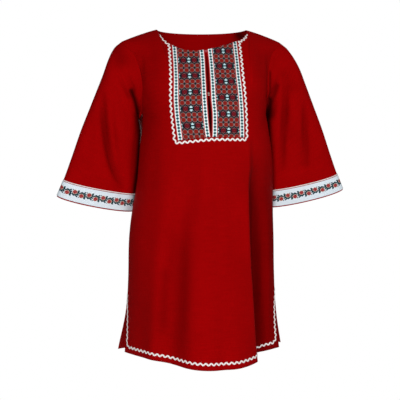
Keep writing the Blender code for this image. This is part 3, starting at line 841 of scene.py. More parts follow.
def sleeve_fold(side, face, share, chord):
    """How far the sleeve's folds draw its cloth in."""
    total = np.zeros(np.shape(share))
    for on, fold_face, start, end, from_outer, to_outer, half, depth in SLEEVE_FOLDS:
        if (on, fold_face) != (side, face):
            continue
        run = np.clip((share - start) / (end - start), 0.0, 1.0)
        middle = lerp(from_outer, to_outer, run ** 0.8)
        reach = np.sin(math.pi * run) ** 0.6
        total = total + depth * reach * np.exp(-((chord - middle) / half) ** 2)
    return total


def sleeve_point(side, turn, share):
    """Points of a sleeve's surface; turn runs once round from the outer line."""
    turn = np.asarray(turn, float)
    angle = 2 * math.pi * turn
    chord = (1.0 - np.cos(angle)) / 2
    outer, inner = sleeve_line(side, share)
    front = turn <= 0.5
    bow = np.abs(np.sin(angle))
    folds = np.where(front, sleeve_fold(side, "front", share, chord), sleeve_fold(side, "back", share, chord))
    depth = along(SLEEVE, "half_depth", share) * bow ** 0.9 - folds * np.minimum(1.0, 2 * bow)
    sag = -SLEEVE_BOW * bow * share * share
    ring = np.stack([np.zeros(depth.shape), np.where(front, -depth, depth), sag], axis=-1)
    start_outer, start_inner = sleeve_line(side, np.zeros(np.shape(chord)))
    on_front, on_back = armhole_point(side, chord)
    armhole = np.where(front[..., None], on_front, on_back)
    armhole = armhole - lerp(start_outer, start_inner, chord[..., None])
    keep = 1.0 - smooth(share / ARMHOLE_FADE)[..., None]
    points = lerp(outer, inner, chord[..., None]) + lerp(ring, armhole, keep)
    beside = (turn - along(PLEAT, "turn", share)) / PLEAT_HALF
    pleat = along(PLEAT, "depth", share) * np.exp(-beside ** 2)
    points[..., 0] -= SIGN[side] * pleat
    points[..., 1] += PLEAT_BACK * pleat
    return points


def sleeve_length(turn):
    """Length of the cloth from armhole to cuff, between outer and inner line."""
    return lerp(SLEEVE_OUTER, SLEEVE_INNER, (1.0 - np.cos(2 * math.pi * turn)) / 2)


def sleeve_cloth(side, turns, shares):
    """Creased points, outward normals and painted shade of a sleeve for grids of places."""
    points = sleeve_point(side, turns, shares)
    centre = points.mean(axis=1, keepdims=True)
    normals = turned_out(grid_normals(points, ring=True), points - centre)
    x, _, height = np.moveaxis(points, -1, 0)
    front = turns <= 0.5
    depth = np.where(front, crease_depth("front", x, height) + crease_depth("sleeve_front", x, height),
                     crease_depth("back", x, height))
    depth = depth * np.minimum(1.0, 3.0 * np.abs(np.sin(2 * math.pi * turns)))
    # Painted shade in creases, and on the front along the listed shade lines
    shade = np.maximum(hollow_shade(depth), np.where(front, deep_shade("sleeve_front", x, height), 0.0))
    return points - normals * depth[..., None], normals, shade


def cuff_heights():
    """Heights of the cuff's trim above the sleeve's edge."""
    band_top = CUFF_EDGE + CUFF_BAND
    edging = band_top + CUFF_SPACE
    return [CUFF_EDGE, band_top, edging, edging + CUFF_EDGING]


def even_turns(side, count):
    """Turns in equal steps of cloth round a sleeve's end."""
    turns = np.array(steps(EVEN_STEPS))
    runs = runs_along(sleeve_point(side, turns, np.full(turns.shape, EVEN_SHARE)))
    return np.interp(ring_turns(count) * runs[-1], runs, turns)


def ring_turns(count):
    """Turns in equal steps round a sleeve."""
    return np.arange(count) / count


def sleeve_places(heights, turns, upper=0):
    """Grids of turns and shares: rings at heights above the edge, then upper rings."""
    rows = [1.0 - height / sleeve_length(turns) for height in heights]
    last = rows[-1]
    for n in range(1, upper + 1):
        rows.append(last * (1.0 - (n / upper) ** RING_CROWDING))
    shares = np.array(rows)
    return np.broadcast_to(turns, shares.shape), shares


def chart_colours(chart, threads):
    """Array of colours of a chart, one for each stitch."""
    return np.array([[threads[letter] for letter in row] for row in chart])


def mirrored(quarter):
    """Whole motif from its upper left quarter."""
    top = [row + row[::-1] for row in quarter]
    return top + top[::-1]


def panel_chart():
    """One repeat of the panels: a row of stars, then two rows of discs."""
    discs = [row * 4 for row in mirrored(DISC_QUARTER)]
    edge = EDGE_QUARTER + EDGE_QUARTER[::-1]
    stars = [e + s + d + s + e[::-1]
             for e, s, d in zip(edge, mirrored(STAR_QUARTER), mirrored(DIAMOND_QUARTER))]
    return stars + discs + discs


def add_material(name, colour, roughness, more=None):
    """Principled material; returns it with its node tree and shader."""
    material = bpy.data.materials.new(name)
    material.use_nodes = True
    tree = material.node_tree
    shader = tree.nodes["Principled BSDF"]
    values = {"Base Color": (*colour, 1.0), "Roughness": roughness, "Specular IOR Level": 0.3}
    for socket, value in {**values, **(more or {})}.items():
        shader.inputs[socket].default_value = value
    return material, tree, shader


def add_node(tree, kind, inputs, **settings):
    """Node with its settings, and values or outputs at its inputs; returns its outputs."""
    node = tree.nodes.new("ShaderNode" + kind)
    for name, value in settings.items():
        setattr(node, name, value)
    for socket, value in inputs.items():
        if isinstance(value, bpy.types.NodeSocket):
            tree.links.new(value, node.inputs[socket])
        else:
            node.inputs[socket].default_value = value
    return node.outputs


def add_math(tree, operation, *values):
    """Math node of outputs or numbers; returns its output."""
    return add_node(tree, "Math", dict(enumerate(values)), operation=operation)["Value"]


def add_noise(tree, vector, scale, detail, stretch=(1.0, 1.0, 1.0)):
    """Noise over a vector that is stretched first; returns its output."""
    stretched = add_node(tree, "Mapping", {"Scale": stretch, "Vector": vector})["Vector"]
    return add_node(tree, "TexNoise", {"Scale": scale, "Detail": detail, "Vector": stretched})["Fac"]


def add_ramp(tree, value, stops):
    """Colour ramp over a value, with stops of (position, colour); returns its output."""
    ramp = tree.nodes.new("ShaderNodeValToRGB")
    elements = ramp.color_ramp.elements
    while len(elements) < len(stops):
        elements.new(0.5)
    for element, (position, colour) in zip(elements, stops):
        element.position = position
        element.color = (*colour, 1.0)
    tree.links.new(value, ramp.inputs["Fac"])
    return ramp.outputs["Color"]


def to_white(grey):
    """Stops of a ramp from a grey to white."""
    return ((0.3, (grey,) * 3), (0.7, (1.0,) * 3))


def add_bump(tree, shader, height, strength, distance):
    """Bump from a height output, into the shader."""
    bump = add_node(tree, "Bump", {"Strength": strength, "Distance": distance, "Height": height})
    tree.links.new(bump["Normal"], shader.inputs["Normal"])


def add_product(tree, colour, *others):
    """Product of colour outputs; returns its output."""
    for other in others:
        mix = add_node(tree, "Mix", {"Factor": 1.0, "A": colour, "B": other}, data_type="RGBA",
                       blend_type="MULTIPLY")
        colour = mix["Result"]
    return colour


def add_range(tree, value, low, high):
    """Value from 0 to 1 mapped to another range; returns its output."""
    return add_node(tree, "MapRange", {"To Min": low, "To Max": high, "Value": value})["Result"]


def feed(tree, shader, colour, roughness):
    """Lead a colour and a roughness into the shader."""
    tree.links.new(colour, shader.inputs["Base Color"])
    tree.links.new(roughness, shader.inputs["Roughness"])


def flat_places(tree):
    """Flat places of the cloth: both at once, then across and up."""
    uv = add_node(tree, "UVMap", {}, uv_map="cloth")["UV"]
    parts = add_node(tree, "SeparateXYZ", {"Vector": uv})
    return uv, parts["X"], parts["Y"]


def sine_of(tree, value, turn):
    """Sine of a value times a number; returns its output."""
    return add_math(tree, "SINE", add_math(tree, "MULTIPLY", value, turn))


def weave_height(tree, u, v, pitch):
    """Plain weave: warp and weft threads that pass over each other by turns."""
    turn = 2 * math.pi / pitch
    product = add_math(tree, "MULTIPLY", sine_of(tree, u, turn), sine_of(tree, v, turn))
    return add_math(tree, "MULTIPLY_ADD", product, 0.5)


def red_cloth():
    """Dark red plain weave: slubs along the weft, soft uneven dye, a slight sheen, and painted shade in
    creases and between pieces.
    """
    material, tree, shader = add_material("red cloth", (0.36, 0.001, 0.002), 0.78, {
        "Specular IOR Level": 0.12, "Specular Tint": (1.0, 0.05, 0.05, 1.0),
        "Sheen Weight": 0.06, "Sheen Roughness": 0.45, "Sheen Tint": (0.9, 0.02, 0.02, 1.0)})
    uv, u, v = flat_places(tree)
    slubs = add_noise(tree, uv, 1.0, 3.0, SLUB_STRETCH)
    dye = add_noise(tree, uv, DYE_SCALE, 3.0)
    threads = add_noise(tree, uv, 1.0, 2.0, THREAD_STRETCH)
    # Painted shade: the colour is darkened in creases, behind the deep fold and between pieces
    folds = add_node(tree, "Attribute", {}, attribute_name="painted fold shade")["Fac"]
    painted_shades = add_ramp(tree, folds, [(place, (grey,) * 3) for place, grey in FOLD_GREYS])
    colour = add_product(tree, add_ramp(tree, slubs, REDS), add_ramp(tree, dye, to_white(0.90)),
                         add_ramp(tree, threads, to_white(0.93)), painted_shades)
    feed(tree, shader, colour, add_range(tree, slubs, 0.70, 0.86))
    ribs = add_math(tree, "MULTIPLY", slubs, SLUB_RELIEF)
    height = add_math(tree, "ADD", weave_height(tree, u, v, WEAVE_PITCH), ribs)
    add_bump(tree, shader, height, 0.35, CLOTH_RELIEF)
    return material


def stitched(name, roughness, relief):
    """Chart colours on the stitches, each with a crossed thread relief."""
    material, tree, shader = add_material(name, (0.5, 0.5, 0.5), roughness, {
        "Specular IOR Level": 0.12, "Sheen Weight": 0.03, "Sheen Roughness": 0.35})
    colours = add_node(tree, "VertexColor", {}, layer_name="stitches")["Color"]
    uv, u, v = flat_places(tree)
    rising = add_math(tree, "PINGPONG", add_math(tree, "ADD", u, v), 0.5)
    falling = add_math(tree, "PINGPONG", add_math(tree, "SUBTRACT", u, v), 0.5)
    crossed = add_math(tree, "SMOOTH_MIN", rising, falling)
    wear = add_noise(tree, uv, WEAR_SCALE, 2.0)
    colour = add_product(tree, colours, add_ramp(tree, wear, to_white(0.84)))
    feed(tree, shader, colour, add_range(tree, wear, roughness - 0.08, roughness + 0.10))
    add_bump(tree, shader, crossed, 0.6, relief)
    return material


def white_braid():
    """Cotton braid: slanting strands, a slightly uneven warm white, and painted shade in the grooves between
    strands.
    """
    material, tree, shader = add_material("white braid", (0.86, 0.80, 0.79), 0.72, {"Sheen Weight": 0.15})
    uv, u, v = flat_places(tree)
    turn = 2 * math.pi / RICRAC_THREAD
    slants = [sine_of(tree, add_math(tree, kind, u, v), turn) for kind in ("ADD", "SUBTRACT")]
    strands = add_math(tree, "MAXIMUM", *slants)
    fluff = add_noise(tree, uv, FLUFF_SCALE, 2.0)
    # Painted shade: the warm white is darker in the grooves between the strands
    tint_and_groove_shade = add_ramp(tree, add_range(tree, strands, 0.0, 1.0), STRAND_TINTS_AND_GROOVE_SHADE)
    colour = add_product(tree, tint_and_groove_shade, add_ramp(tree, fluff, FLUFF_TINTS))
    feed(tree, shader, colour, add_range(tree, fluff, 0.62, 0.82))
    add_bump(tree, shader, strands, 0.6, BRAID_RELIEF)
    return material


def sewing_thread(name, colour):
    """Twisted thread, lighter and darker along its ply."""
    material, tree, shader = add_material(name, colour, 0.6, {"Sheen Weight": 0.2})
    fine = add_noise(tree, add_node(tree, "TexCoord", {})["Object"], PLY_SCALE, 2.0)
    dark = tuple(part * PLY_SHADE for part in colour)
    ply = add_ramp(tree, fine, ((0.3, dark), (0.7, colour)))
    feed(tree, shader, ply, add_range(tree, fine, 0.5, 0.75))
    add_bump(tree, shader, fine, 0.5, PLY_RELIEF)
    return material


def pale_floor():
    """Matt pale studio floor with a faint unevenness."""
    material, tree, shader = add_material("floor", (0.86, 0.86, 0.86), 0.85)
    grain = add_noise(tree, add_node(tree, "TexCoord", {})["Object"], 3.0, 3.0)
    colour = add_ramp(tree, grain, ((0.2, (0.84,) * 3), (0.8, (0.88,) * 3)))
    tree.links.new(colour, shader.inputs["Base Color"])
    return material


def real_cells(points, r, c):
    """Rows and columns of the cells of a grid that have an area."""
    d = (c + 1) % points.shape[1]
    diagonals = points[r + 1, d] - points[r, c], points[r + 1, c] - points[r, d]
    real = np.linalg.norm(np.cross(*diagonals), axis=-1) > LEAST_AREA
    return r[real], c[real]


def add_grid(node, kind, points, uv, material, ring=False, flip=False, kept=None,
             colours=None, shade=None):
    """Piece from a grid of points, with flat places and stitch colours or painted shade."""
    rows, columns = points.shape[:2]
    r, c = np.meshgrid(np.arange(rows - 1), np.arange(columns if ring else columns - 1), indexing="ij")
    if kept is not None:
        r, c = r[kept], c[kept]
    r, c = real_cells(points, r.ravel(), c.ravel())
    d = (c + 1) % columns
    low = r * columns
    high = low + columns
    corners = np.stack([low + c, low + d, high + d, high + c], axis=1)
    corner_uv = np.stack([uv[r, c], uv[r, c + 1], uv[r + 1, c + 1], uv[r + 1, c]], axis=1)
    if flip:
        corners = corners[:, ::-1]
        corner_uv = corner_uv[:, ::-1]
    used, corners = np.unique(corners, return_inverse=True)
    mesh = bpy.data.meshes.new(f"{node}_{kind}")
    mesh.from_pydata(points.reshape(-1, 3)[used].tolist(), [], corners.reshape(-1, 4).tolist())
    layer = mesh.uv_layers.new(name="cloth")
    layer.data.foreach_set("uv", corner_uv.astype(np.float32).ravel())
    # Painted shade, kept as a point attribute for the cloth's colour
    if shade is not None:
        folds = mesh.attributes.new(name="painted fold shade", type="FLOAT", domain="POINT")
        folds.data.foreach_set("value", shade.reshape(-1)[used].astype(np.float32))
    if colours is not None:
        whole = np.concatenate([colours[r, c], np.ones((len(r), 1))], axis=1)
        stitches = mesh.color_attributes.new(name="stitches", type="FLOAT_COLOR", domain="CORNER")
        stitches.data.foreach_set("color", np.repeat(whole, 4, axis=0).astype(np.float32).ravel())
    mesh.shade_smooth()
    return add_piece(node, mesh, material)


def placed(name, data):
    """Object of some data, in the scene."""
    thing = bpy.data.objects.new(name, data)
    bpy.context.scene.collection.objects.link(thing)
    return thing


def add_piece(node, mesh, material):
    """Object of the part, which rides on the one body in the place of a solid."""
    piece = placed(mesh.name, mesh)
    mesh.materials.append(material)
    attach(piece, "root")
    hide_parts(node)
    return piece


def thicken(piece, thickness, rim_only=False):
    """Give a piece its thickness inwards."""
    solid = piece.modifiers.new("wall", "SOLIDIFY")
    solid.thickness = thickness
    solid.offset = -1.0
    solid.use_rim_only = rim_only


def add_body(face, material):
    """Creased front or back, thin and hollow; returns the piece and its grid."""
    points, uv, shade = body_grid(face)
    rows, columns = points.shape[:2]
    kept = np.ones((rows - 1, columns - 1), bool)
    if face == "front":
        kept[ROWS_BELOW:, LEFT_CELLS] = False
    piece = add_grid(face, "cloth", points, uv, material, flip=face == "back", kept=kept,
                     shade=shade)
    thicken(piece, WALL)
    return piece, points


def sleeve_uv(turns, shares):
    """Flat places of a sleeve's rings, in metres, one more than the ring has."""
    shares = np.concatenate([shares, shares[:, :1]], axis=1)
    around = np.concatenate([turns, np.ones((len(turns), 1))], axis=1)
    return np.stack([around * lerp(*SLEEVE_GIRTH, shares), -shares * SLEEVE_OUTER], axis=-1)


def add_sleeve(side, material):
    """Creased sleeve, thin and hollow."""
    turns, shares = sleeve_places(SLEEVE_RINGS + cuff_heights()[1:], ring_turns(RING_POINTS), SLEEVE_ROWS)
    points, _, shade = sleeve_cloth(side, turns, shares)
    piece = add_grid("sleeve_" + side, "cloth", points, sleeve_uv(turns, shares), material,
                     ring=True, flip=side == "right", shade=shade)
    thicken(piece, WALL)
    return piece


def add_cuff(side, material):
    """Woven band with its chain of roses round a sleeve's end, its colours darkened by painted shade."""
    letters = [row + flipped for row, flipped in zip(ROSE_CHART, ROSE_CHART[::-1])]
    blank = "." * len(letters[0])
    chart = [blank] * ROSE_ABOVE + letters + [blank] * ROSE_BELOW
    colours = np.tile(chart_colours(chart, {**THREADS, **ROSE_THREADS})[::-1], (1, ROSE_HALVES // 2, 1))
    rows, columns = colours.shape[:2]
    heights = [CUFF_EDGE + CUFF_BAND * n / rows for n in range(rows + 1)]
    turns, shares = sleeve_places(heights, even_turns(side, columns))
    points, normals, shade = sleeve_cloth(side, turns, shares)
    uv = np.stack(np.meshgrid(np.arange(columns + 1), np.arange(rows + 1)), axis=-1)
    # Painted shade darkens the band's stitch colours where the sleeve lies in shade
    colours = colours * (1.0 - BAND_SHADE * shade[:-1, :, None])
    piece = add_grid("cuff_" + side, "band", points + normals * (GAP + TRIM), uv, material,
                     ring=True, flip=side == "right", colours=colours)
    thicken(piece, TRIM, rim_only=True)
    return piece


def add_edging(side, material):
    """Narrow rounded white edging above the cuff band."""
    low, high = cuff_heights()[2:]
    heights = [lerp(low, high, share) for share, _ in EDGING_PROFILE]
    turns, shares = sleeve_places(heights, ring_turns(RING_POINTS * 2))
    points, normals, _ = sleeve_cloth(side, turns, shares)
    rise = np.array([lift for _, lift in EDGING_PROFILE])[:, None, None]
    return add_grid("cuff_edging_" + side, "braid", points + normals * (GAP + TRIM * rise),
                    sleeve_uv(turns, shares), material, ring=True, flip=side == "right")


def bent(side, offset, height):
    """Sideways place of a line of the placket, bent as the cloth hangs."""
    share = np.clip((np.abs(offset) - PLACKET_INNER) / (PLACKET_TRIM - PLACKET_INNER), 0.0, 1.0)
    inner = along(PLACKET_BEND, side + "_inner", height)
    outer = along(PLACKET_BEND, side + "_outer", height)
    return placket_middle(height) + offset + lerp(inner, outer, share)


def placket_foot(x):
    """Height of the placket's lower edge."""
    return PLACKET_BOTTOM + np.where(x < 0.0, PLACKET_SLOPE["left"], PLACKET_SLOPE["right"]) * x


def placket_grid(side, start, width, columns, cell, reference):
    """Grid of a strip of the placket, with the row number of each stitch row."""
    above = int((PLACKET_REACH[0] - reference) / cell) + 2
    rows = above + int((PLACKET_REACH[1] + reference) / cell) + 1
    row_numbers = np.arange(rows + 1) - above
    height = (reference - row_numbers * cell)[:, None]
    place = start + width * np.arange(columns + 1)[None, :] / columns
    offset = place if side == "right" else -(2 * start + width - place)
    height, offset = np.broadcast_arrays(height, offset)
    x = bent(side, offset, height)
    top = top_height("front", across_at("front", x, np.zeros(x.shape))) - PLACKET_BELOW
    clamped = np.maximum(np.minimum(height, top), placket_foot(x))
    points, normals = cloth_point("front", bent(side, offset, clamped), clamped)
    uv = np.stack([np.broadcast_to(np.arange(columns + 1), x.shape), -(reference - clamped) / cell], axis=-1)
    return points + normals * (GAP + TRIM), uv, row_numbers


def add_strip(name, side, start, width, chart, threads, pitch, reference, material, slot):
    """Stitched strip of the placket, in the colours of its chart."""
    colours = chart_colours(chart, threads)
    cell = pitch / len(chart)
    points, uv, row_numbers = placket_grid(side, start, width, colours.shape[1], cell, reference)
    picked = colours[(row_numbers[:-1] + len(chart) // 2) % len(chart)]
    piece = add_grid(f"{name}_{side}", "stitches", points, uv, material, flip=True, colours=picked)
    thicken(piece, TRIM, rim_only=True)
    return piece


def add_placket(panel_material, ribbon_material):
    """Two embroidered panels, each between two ribbons, beside the neck slit."""
    panel = panel_chart()
    first = PANEL_START - len(panel) // 2
    panel = panel[first:] + panel[:first]
    ribbon_threads = {**THREADS, **RIBBON_THREADS}
    pieces = []
    for side in ("left", "right"):
        reference, pitch = PANEL_PITCH[side]
        ribbon = (RIBBON, RIBBON_CHART, ribbon_threads, RIBBON_PITCH, reference, ribbon_material,
                  "diamond_ribbon")
        middle = PLACKET_INNER + RIBBON + PLACKET_STEP
        pieces.append(add_strip("ribbon_inner", side, PLACKET_INNER, *ribbon))
        pieces.append(add_strip("panel", side, middle, PANEL, panel, THREADS, pitch, reference,
                                panel_material, "embroidery"))
        pieces.append(add_strip("ribbon_outer", side, middle + PANEL + PLACKET_STEP, *ribbon))
    return pieces


def grid_faces(rows, columns, ring=False):
    """Corner numbers of the faces of a grid of points."""
    return [(r * columns + c, r * columns + (c + 1) % columns,
             (r + 1) * columns + (c + 1) % columns, (r + 1) * columns + c)
            for r in range(rows - 1) for c in range(columns if ring else columns - 1)]


def surface_tree(points):
    """Search tree over a grid of points."""
    return BVHTree.FromPolygons([Vector(p) for p in points.reshape(-1, 3)], grid_faces(*points.shape[:2]))


def resampled(line, count):
    """Evenly spaced points along a line of points, their directions and their runs."""
    runs = runs_along(line)
    at = np.linspace(0.0, runs[-1], count)
    points = np.stack([np.interp(at, runs, line[:, k]) for k in range(3)], axis=-1)
    return points, unit(np.gradient(points, axis=0)), at


def smoothed(values, passes):
    """Values averaged with their neighbours along the first axis."""
    for _ in range(passes):
        inner = (values[:-2] + 2 * values[1:-1] + values[2:]) / 4
        values = np.concatenate([values[:1], inner, values[-1:]])
    return values


def braid_normals(face, tree, points):
    """Outward directions of the cloth along a braid, without its small bends."""
    normals = []
    for point in points:
        normal = np.array(tree.find_nearest(Vector(point))[1])
        outward = np.array((point[0] * 0.5, SIGN[face] * OUT_FROM_MIDDLE + point[1] * 0.3, 0.02))
        normals.append(normal * (1.0 if normal @ outward > 0.0 else -1.0))
    return unit(smoothed(np.array(normals), RICRAC_PASSES))


def add_ricrac(node, face, places, tree, material):
    """Wavy rounded braid along a line of (across, height) places."""
    across, height = np.array(places, float).T
    line = body_point(face, across, height)
    waves = max(1, round(runs_along(line)[-1] / RICRAC_WAVE))
    points, directions, at = resampled(line, waves * RICRAC_STEPS + 1)
    normals = braid_normals(face, tree, points)
    sideways = np.cross(normals, directions)
    phase = 2 * math.pi * waves * at / at[-1]
    middle = points + sideways * (RICRAC_SWING * np.sin(phase))[:, None]
    sideways = np.cross(normals, unit(np.gradient(middle, axis=0)))
    rows = []
    for n in range(RICRAC_SPAN):
        angle = math.pi * n / (RICRAC_SPAN - 1)
        spots = middle + sideways * (RICRAC_HALF * math.cos(angle))
        nearest = np.array([tree.find_nearest(Vector(spot))[0] for spot in spots])
        on_edge = n in (0, RICRAC_SPAN - 1)
        rise = 0.0 if on_edge else RICRAC_RISE * lerp(RICRAC_EDGE, 1.0, math.sin(angle))
        rows.append(nearest + normals * (GAP + rise))
    uv = np.stack(np.meshgrid(at, np.linspace(-RICRAC_HALF, RICRAC_HALF, RICRAC_SPAN)), axis=-1)
    return add_grid(node, "braid", np.stack(rows), uv, material, flip=True)


def between(start, goal, share):
    """Place at a share of the way from one place to another."""
    return (lerp(start[0], goal[0], share), lerp(start[1], goal[1], share))


def toward(start, goal, distance):
    """Place at a distance from the start, at most half way to the goal."""
    return between(start, goal, min(0.5, distance / math.dist(start, goal)))


def rounded(corners, radius):
    """Line of (x, height) places with its corners cut to short arcs."""
    line = [corners[0]]
    for before, corner, after in zip(corners, corners[1:], corners[2:]):
        start = toward(corner, before, radius)
        end = toward(corner, after, radius)
        for share in (0.0, 0.2, 0.4, 0.6, 0.8, 1.0):
            line.append(between(between(start, corner, share), between(corner, end, share), share))
    line.append(corners[-1])
    return line


def filled(line, step=0.002):
    """The line with places added so that none is further apart than the step."""
    result = [line[0]]
    for a, b in zip(line, line[1:]):
        count = max(1, math.ceil(math.dist(a, b) / step))
        result += [between(a, b, n / count) for n in range(1, count + 1)]
    return result


def neck_places(side):
    """Places of the braid below the neckline, from a neck point to the placket."""
    corner = float(bent(side, SIGN[side] * PLACKET_TRIM, -NECK_DROP))
    xs = [lerp(SIGN[side] * (NECK_HALF - RICRAC_HALF), corner, share) for share in steps(NECK_STEPS)]
    return [(x, float(top_height("front", across_at("front", x, 0.0))) - RICRAC_NECK) for x in xs]


def placket_side(side, top):
    """Places of the braid down one side of the placket, and its corner below them."""
    offset = SIGN[side] * PLACKET_TRIM
    foot = PLACKET_BOTTOM - PLACKET_FOOT
    heights = [lerp(top, foot + PLACKET_TURN, share) for share in steps(PLACKET_STEPS)]
    x = float(bent(side, offset, foot))
    return ([(float(bent(side, offset, height)), height) for height in heights],
            (x, float(placket_foot(x)) - PLACKET_FOOT))


def yoke_places():
    """Places of the braid from one neck point round the placket to the other."""
    left = neck_places("left")
    right = neck_places("right")
    left_side, left_corner = placket_side("left", left[-1][1])
    right_side, right_corner = placket_side("right", right[-1][1])
    turn = rounded([left_side[-1], left_corner, (0.0, PLACKET_BOTTOM - PLACKET_FOOT),
                    right_corner, right_side[-1]], PLACKET_CORNER)
    return left[:-1] + left_side[:-1] + turn + right_side[-2::-1] + right[-2::-1]


def add_yoke_braid(tree, material):
    """Braid round the placket and along the neckline."""
    line = np.array(filled(yoke_places()))
    across = across_at("front", line[:, 0], line[:, 1])
    places = np.stack([across, line[:, 1]], axis=-1)
    return add_ricrac("ricrac_yoke", "front", places, tree, material)


def from_side(face, sign, height, distance):
    """The `across` value at a distance along the cloth from the side's edge."""
    across = sign * (1.0 - np.arange(SIDE_STEPS) * SIDE_STEP)
    points = body_point(face, across, np.full(across.shape, height))
    return float(np.interp(distance, runs_along(points), across))


def braid_height(face, across):
    """Height of the braid along the hem."""
    return float(hem_height(face, across)) + RICRAC_HEM


def slit_places(face, sign):
    """Places (across, height) of the braid beside a slit, from its top down."""
    foot = braid_height(face, sign) + RICRAC_SLIT
    places = []
    for share in steps(SLIT_STEPS):
        height = lerp(SLIT_TOP + RICRAC_SLIT, foot, share)
        distance = lerp(RICRAC_SLIT / 2, RICRAC_SLIT, min(1.0, 3 * share))
        places.append((from_side(face, sign, height, distance), height))
    return places


def hem_places(face):
    """Places (across, height) of the hem braid, up both side slits."""
    start, end = (from_side(face, sign, braid_height(face, sign), RICRAC_SLIT * 2) for sign in (1.0, -1.0))
    turns = [(1.0 - math.cos(math.pi * share)) / 2 for share in steps(HEM_STEPS)]
    bottom = [(lerp(start, end, turn), braid_height(face, lerp(start, end, turn))) for turn in turns]
    return slit_places(face, 1.0) + bottom + slit_places(face, -1.0)[::-1]


def add_tube(points, radius, sides=8):
    """Vertices and faces of a closed-ended tube along a list of points."""
    line = np.array(points)
    ahead = unit(np.gradient(line, axis=0))
    side = np.cross(ahead, (0.0, 1.0, 0.0))
    weak = np.linalg.norm(side, axis=1) < 0.2
    side[weak] = np.cross(ahead[weak], (1.0, 0.0, 0.0))
    side = unit(side)
    up = np.cross(side, ahead)
    angles = (2 * math.pi * np.arange(sides) / sides)[None, :, None]
    rings = line[:, None] + radius * (np.cos(angles) * side[:, None] + np.sin(angles) * up[:, None])
    end = range((len(line) - 1) * sides, len(line) * sides)
    faces = grid_faces(len(line), sides, ring=True) + [tuple(range(sides))[::-1], tuple(end)]
    return rings.reshape(-1, 3), faces


def add_threads(node, kind, lines, radius, material):
    """Piece made of several threads."""
    vertices = []
    faces = []
    for line in lines:
        points, quads = add_tube(line, radius)
        start = sum(len(part) for part in vertices)
        vertices.append(points)
        faces += [tuple(start + n for n in face) for face in quads]
    mesh = bpy.data.meshes.new(f"{node}_{kind}")
    mesh.from_pydata(np.concatenate(vertices).tolist(), [], faces)
    mesh.shade_smooth()
    return add_piece(node, mesh, material)


def slit_frame(height):
    """Place on the cloth over the neck slit, with its sideways, up and outward axes."""
    point, normal = cloth_point("front", np.array(placket_middle(height)), np.array(height))
    side = unit(np.cross(normal, (0.0, 0.0, 1.0)))
    side = side * np.sign(side[0])
    up = np.cross(normal, side)
    return point, side, up * np.sign(up[2]), normal


def add_loop(material):
    """Thread loop that closes the neck slit, with its two sewn ends."""
    height = float(top_height("front", slit_middle(-NECK_DROP))) - LOOP_DROP
    point, side, up, out = slit_frame(height)
    centre = point + out * (LOOP_THREAD + GAP)
    wide, tall = LOOP_SIZE
    angles = [2 * math.pi * share for share in steps(LOOP_STEPS)]
    lines = [[centre + side * wide * math.cos(angle) + up * tall * math.sin(angle) for angle in angles]]
    for sign in (-1.0, 1.0):
        tie = []
        for share in steps(TIE_STEPS):
            place = centre + side * sign * lerp(*TIE_ACROSS, share) + up * lerp(*TIE_UP, share)
            tie.append(place + out * (TIE_OUT + TIE_RISE * math.sin(math.pi * share)))
        lines.append(tie)
    return add_threads("neck_loop", "thread", lines, LOOP_THREAD, material)


def add_bar(material):
    """Two small wrapped stitches that tie the slit's edges together."""
    lines = []
    for place in (-BAR_SPACING, BAR_SPACING):
        point, side, up, out = slit_frame(BAR_HEIGHT + place)
        centre = point + out * (GAP + BAR_THREAD * 2)
        for strand in (-1.0, 0.0, 1.0):
            line = []
            for share in steps(BAR_STEPS):
                rise = out * (BAR_RISE * math.sin(math.pi * share))
                line.append(centre + side * lerp(-BAR_HALF, BAR_HALF, share) + up * strand * BAR_RISE + rise)
            lines.append(line)
    return add_threads("thread_bar", "stitches", lines, BAR_THREAD, material)


def add_camera():
    """Camera at the photograph's viewing angle."""
    data = bpy.data.cameras.new("camera")
    data.sensor_width = 36.0
    data.angle = 2 * math.atan(CAMERA_HALF_VIEW / CAMERA_DISTANCE)
    camera = placed("camera", data)
    turn = math.radians(CAMERA_TURN)
    offset = Vector((math.sin(turn), -math.cos(turn), 0.0)) * CAMERA_DISTANCE
    camera.location = Vector(CAMERA_TARGET) + offset
    camera.rotation_euler = (math.radians(90.0), 0.0, turn)
    bpy.context.scene.camera = camera
    bpy.context.scene.view_settings.view_transform = "Standard"


def add_floor():
    """Plain pale floor, where the wearer of the tunic would stand."""
    angles = [2 * math.pi * n / FLOOR_SIDES for n in range(FLOOR_SIDES)]
    ring = [(FLOOR_RADIUS * math.cos(angle), FLOOR_RADIUS * math.sin(angle), FLOOR_HEIGHT)
            for angle in angles]
    mesh = bpy.data.meshes.new("floor")
    mesh.from_pydata(ring, [], [tuple(range(FLOOR_SIDES))])
    mesh.materials.append(pale_floor())
    placed("floor", mesh)


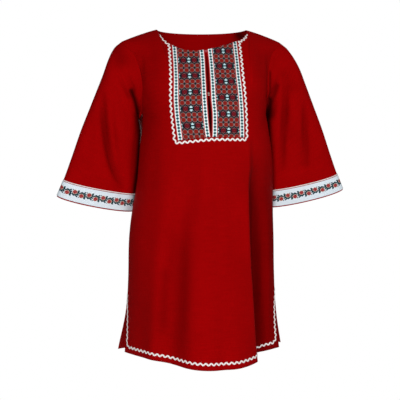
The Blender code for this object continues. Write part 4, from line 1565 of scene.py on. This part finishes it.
def add_light(name, place, size, energy):
    """Square soft light aimed at the tunic."""
    data = bpy.data.lights.new(name, "AREA")
    data.shape = "SQUARE"
    data.size = size
    data.energy = energy
    light = placed(name, data)
    light.location = place
    light.rotation_euler = (Vector(LIGHT_GOAL) - Vector(place)).to_track_quat("-Z", "Y").to_euler()


def add_studio():
    """White surroundings that light the tunic only faintly, and soft front lights."""
    world = bpy.data.worlds.new("studio")
    bpy.context.scene.world = world
    world.use_nodes = True
    tree = world.node_tree
    tree.nodes["Background"].inputs["Color"].default_value = (1.0, 1.0, 1.0, 1.0)
    tree.nodes["Background"].inputs["Strength"].default_value = GLOW
    seen = add_node(tree, "Background", {"Color": (1.0, 1.0, 1.0, 1.0), "Strength": 1.0})["Background"]
    path = add_node(tree, "LightPath", {})["Is Camera Ray"]
    glow = tree.nodes["Background"].outputs["Background"]
    mix = add_node(tree, "MixShader", {0: path, 1: glow, 2: seen})["Shader"]
    tree.links.new(mix, tree.nodes["World Output"].inputs["Surface"])
    for light in LIGHTS:
        add_light(*light)


def build():
    """The whole tunic, its floor, camera and lights."""
    add_camera()
    red = red_cloth()
    panels = stitched("embroidery", 0.80, 0.00025)
    ribbons = stitched("diamond ribbon", 0.62, 0.00012)
    roses = stitched("rose band", 0.68, 0.00015)
    braid = white_braid()
    pink = sewing_thread("pink thread", (0.72, 0.12, 0.15))
    pale = sewing_thread("pale thread", (0.80, 0.68, 0.60))
    front, front_points = add_body("front", red)
    back, back_points = add_body("back", red)
    front_tree = surface_tree(front_points)
    on_front = add_placket(panels, ribbons)
    on_front.append(add_yoke_braid(front_tree, braid))
    on_front.append(add_ricrac("ricrac_hem_front", "front", hem_places("front"), front_tree, braid))
    on_front.append(add_loop(pink))
    on_front.append(add_bar(pale))
    on_back = add_ricrac("ricrac_hem_back", "back", hem_places("back"), surface_tree(back_points), braid)
    for side in ("left", "right"):
        sleeve = add_sleeve(side, red)
        trim = [add_cuff(side, roses), add_edging(side, braid)]
    add_floor()
    add_studio()


build()
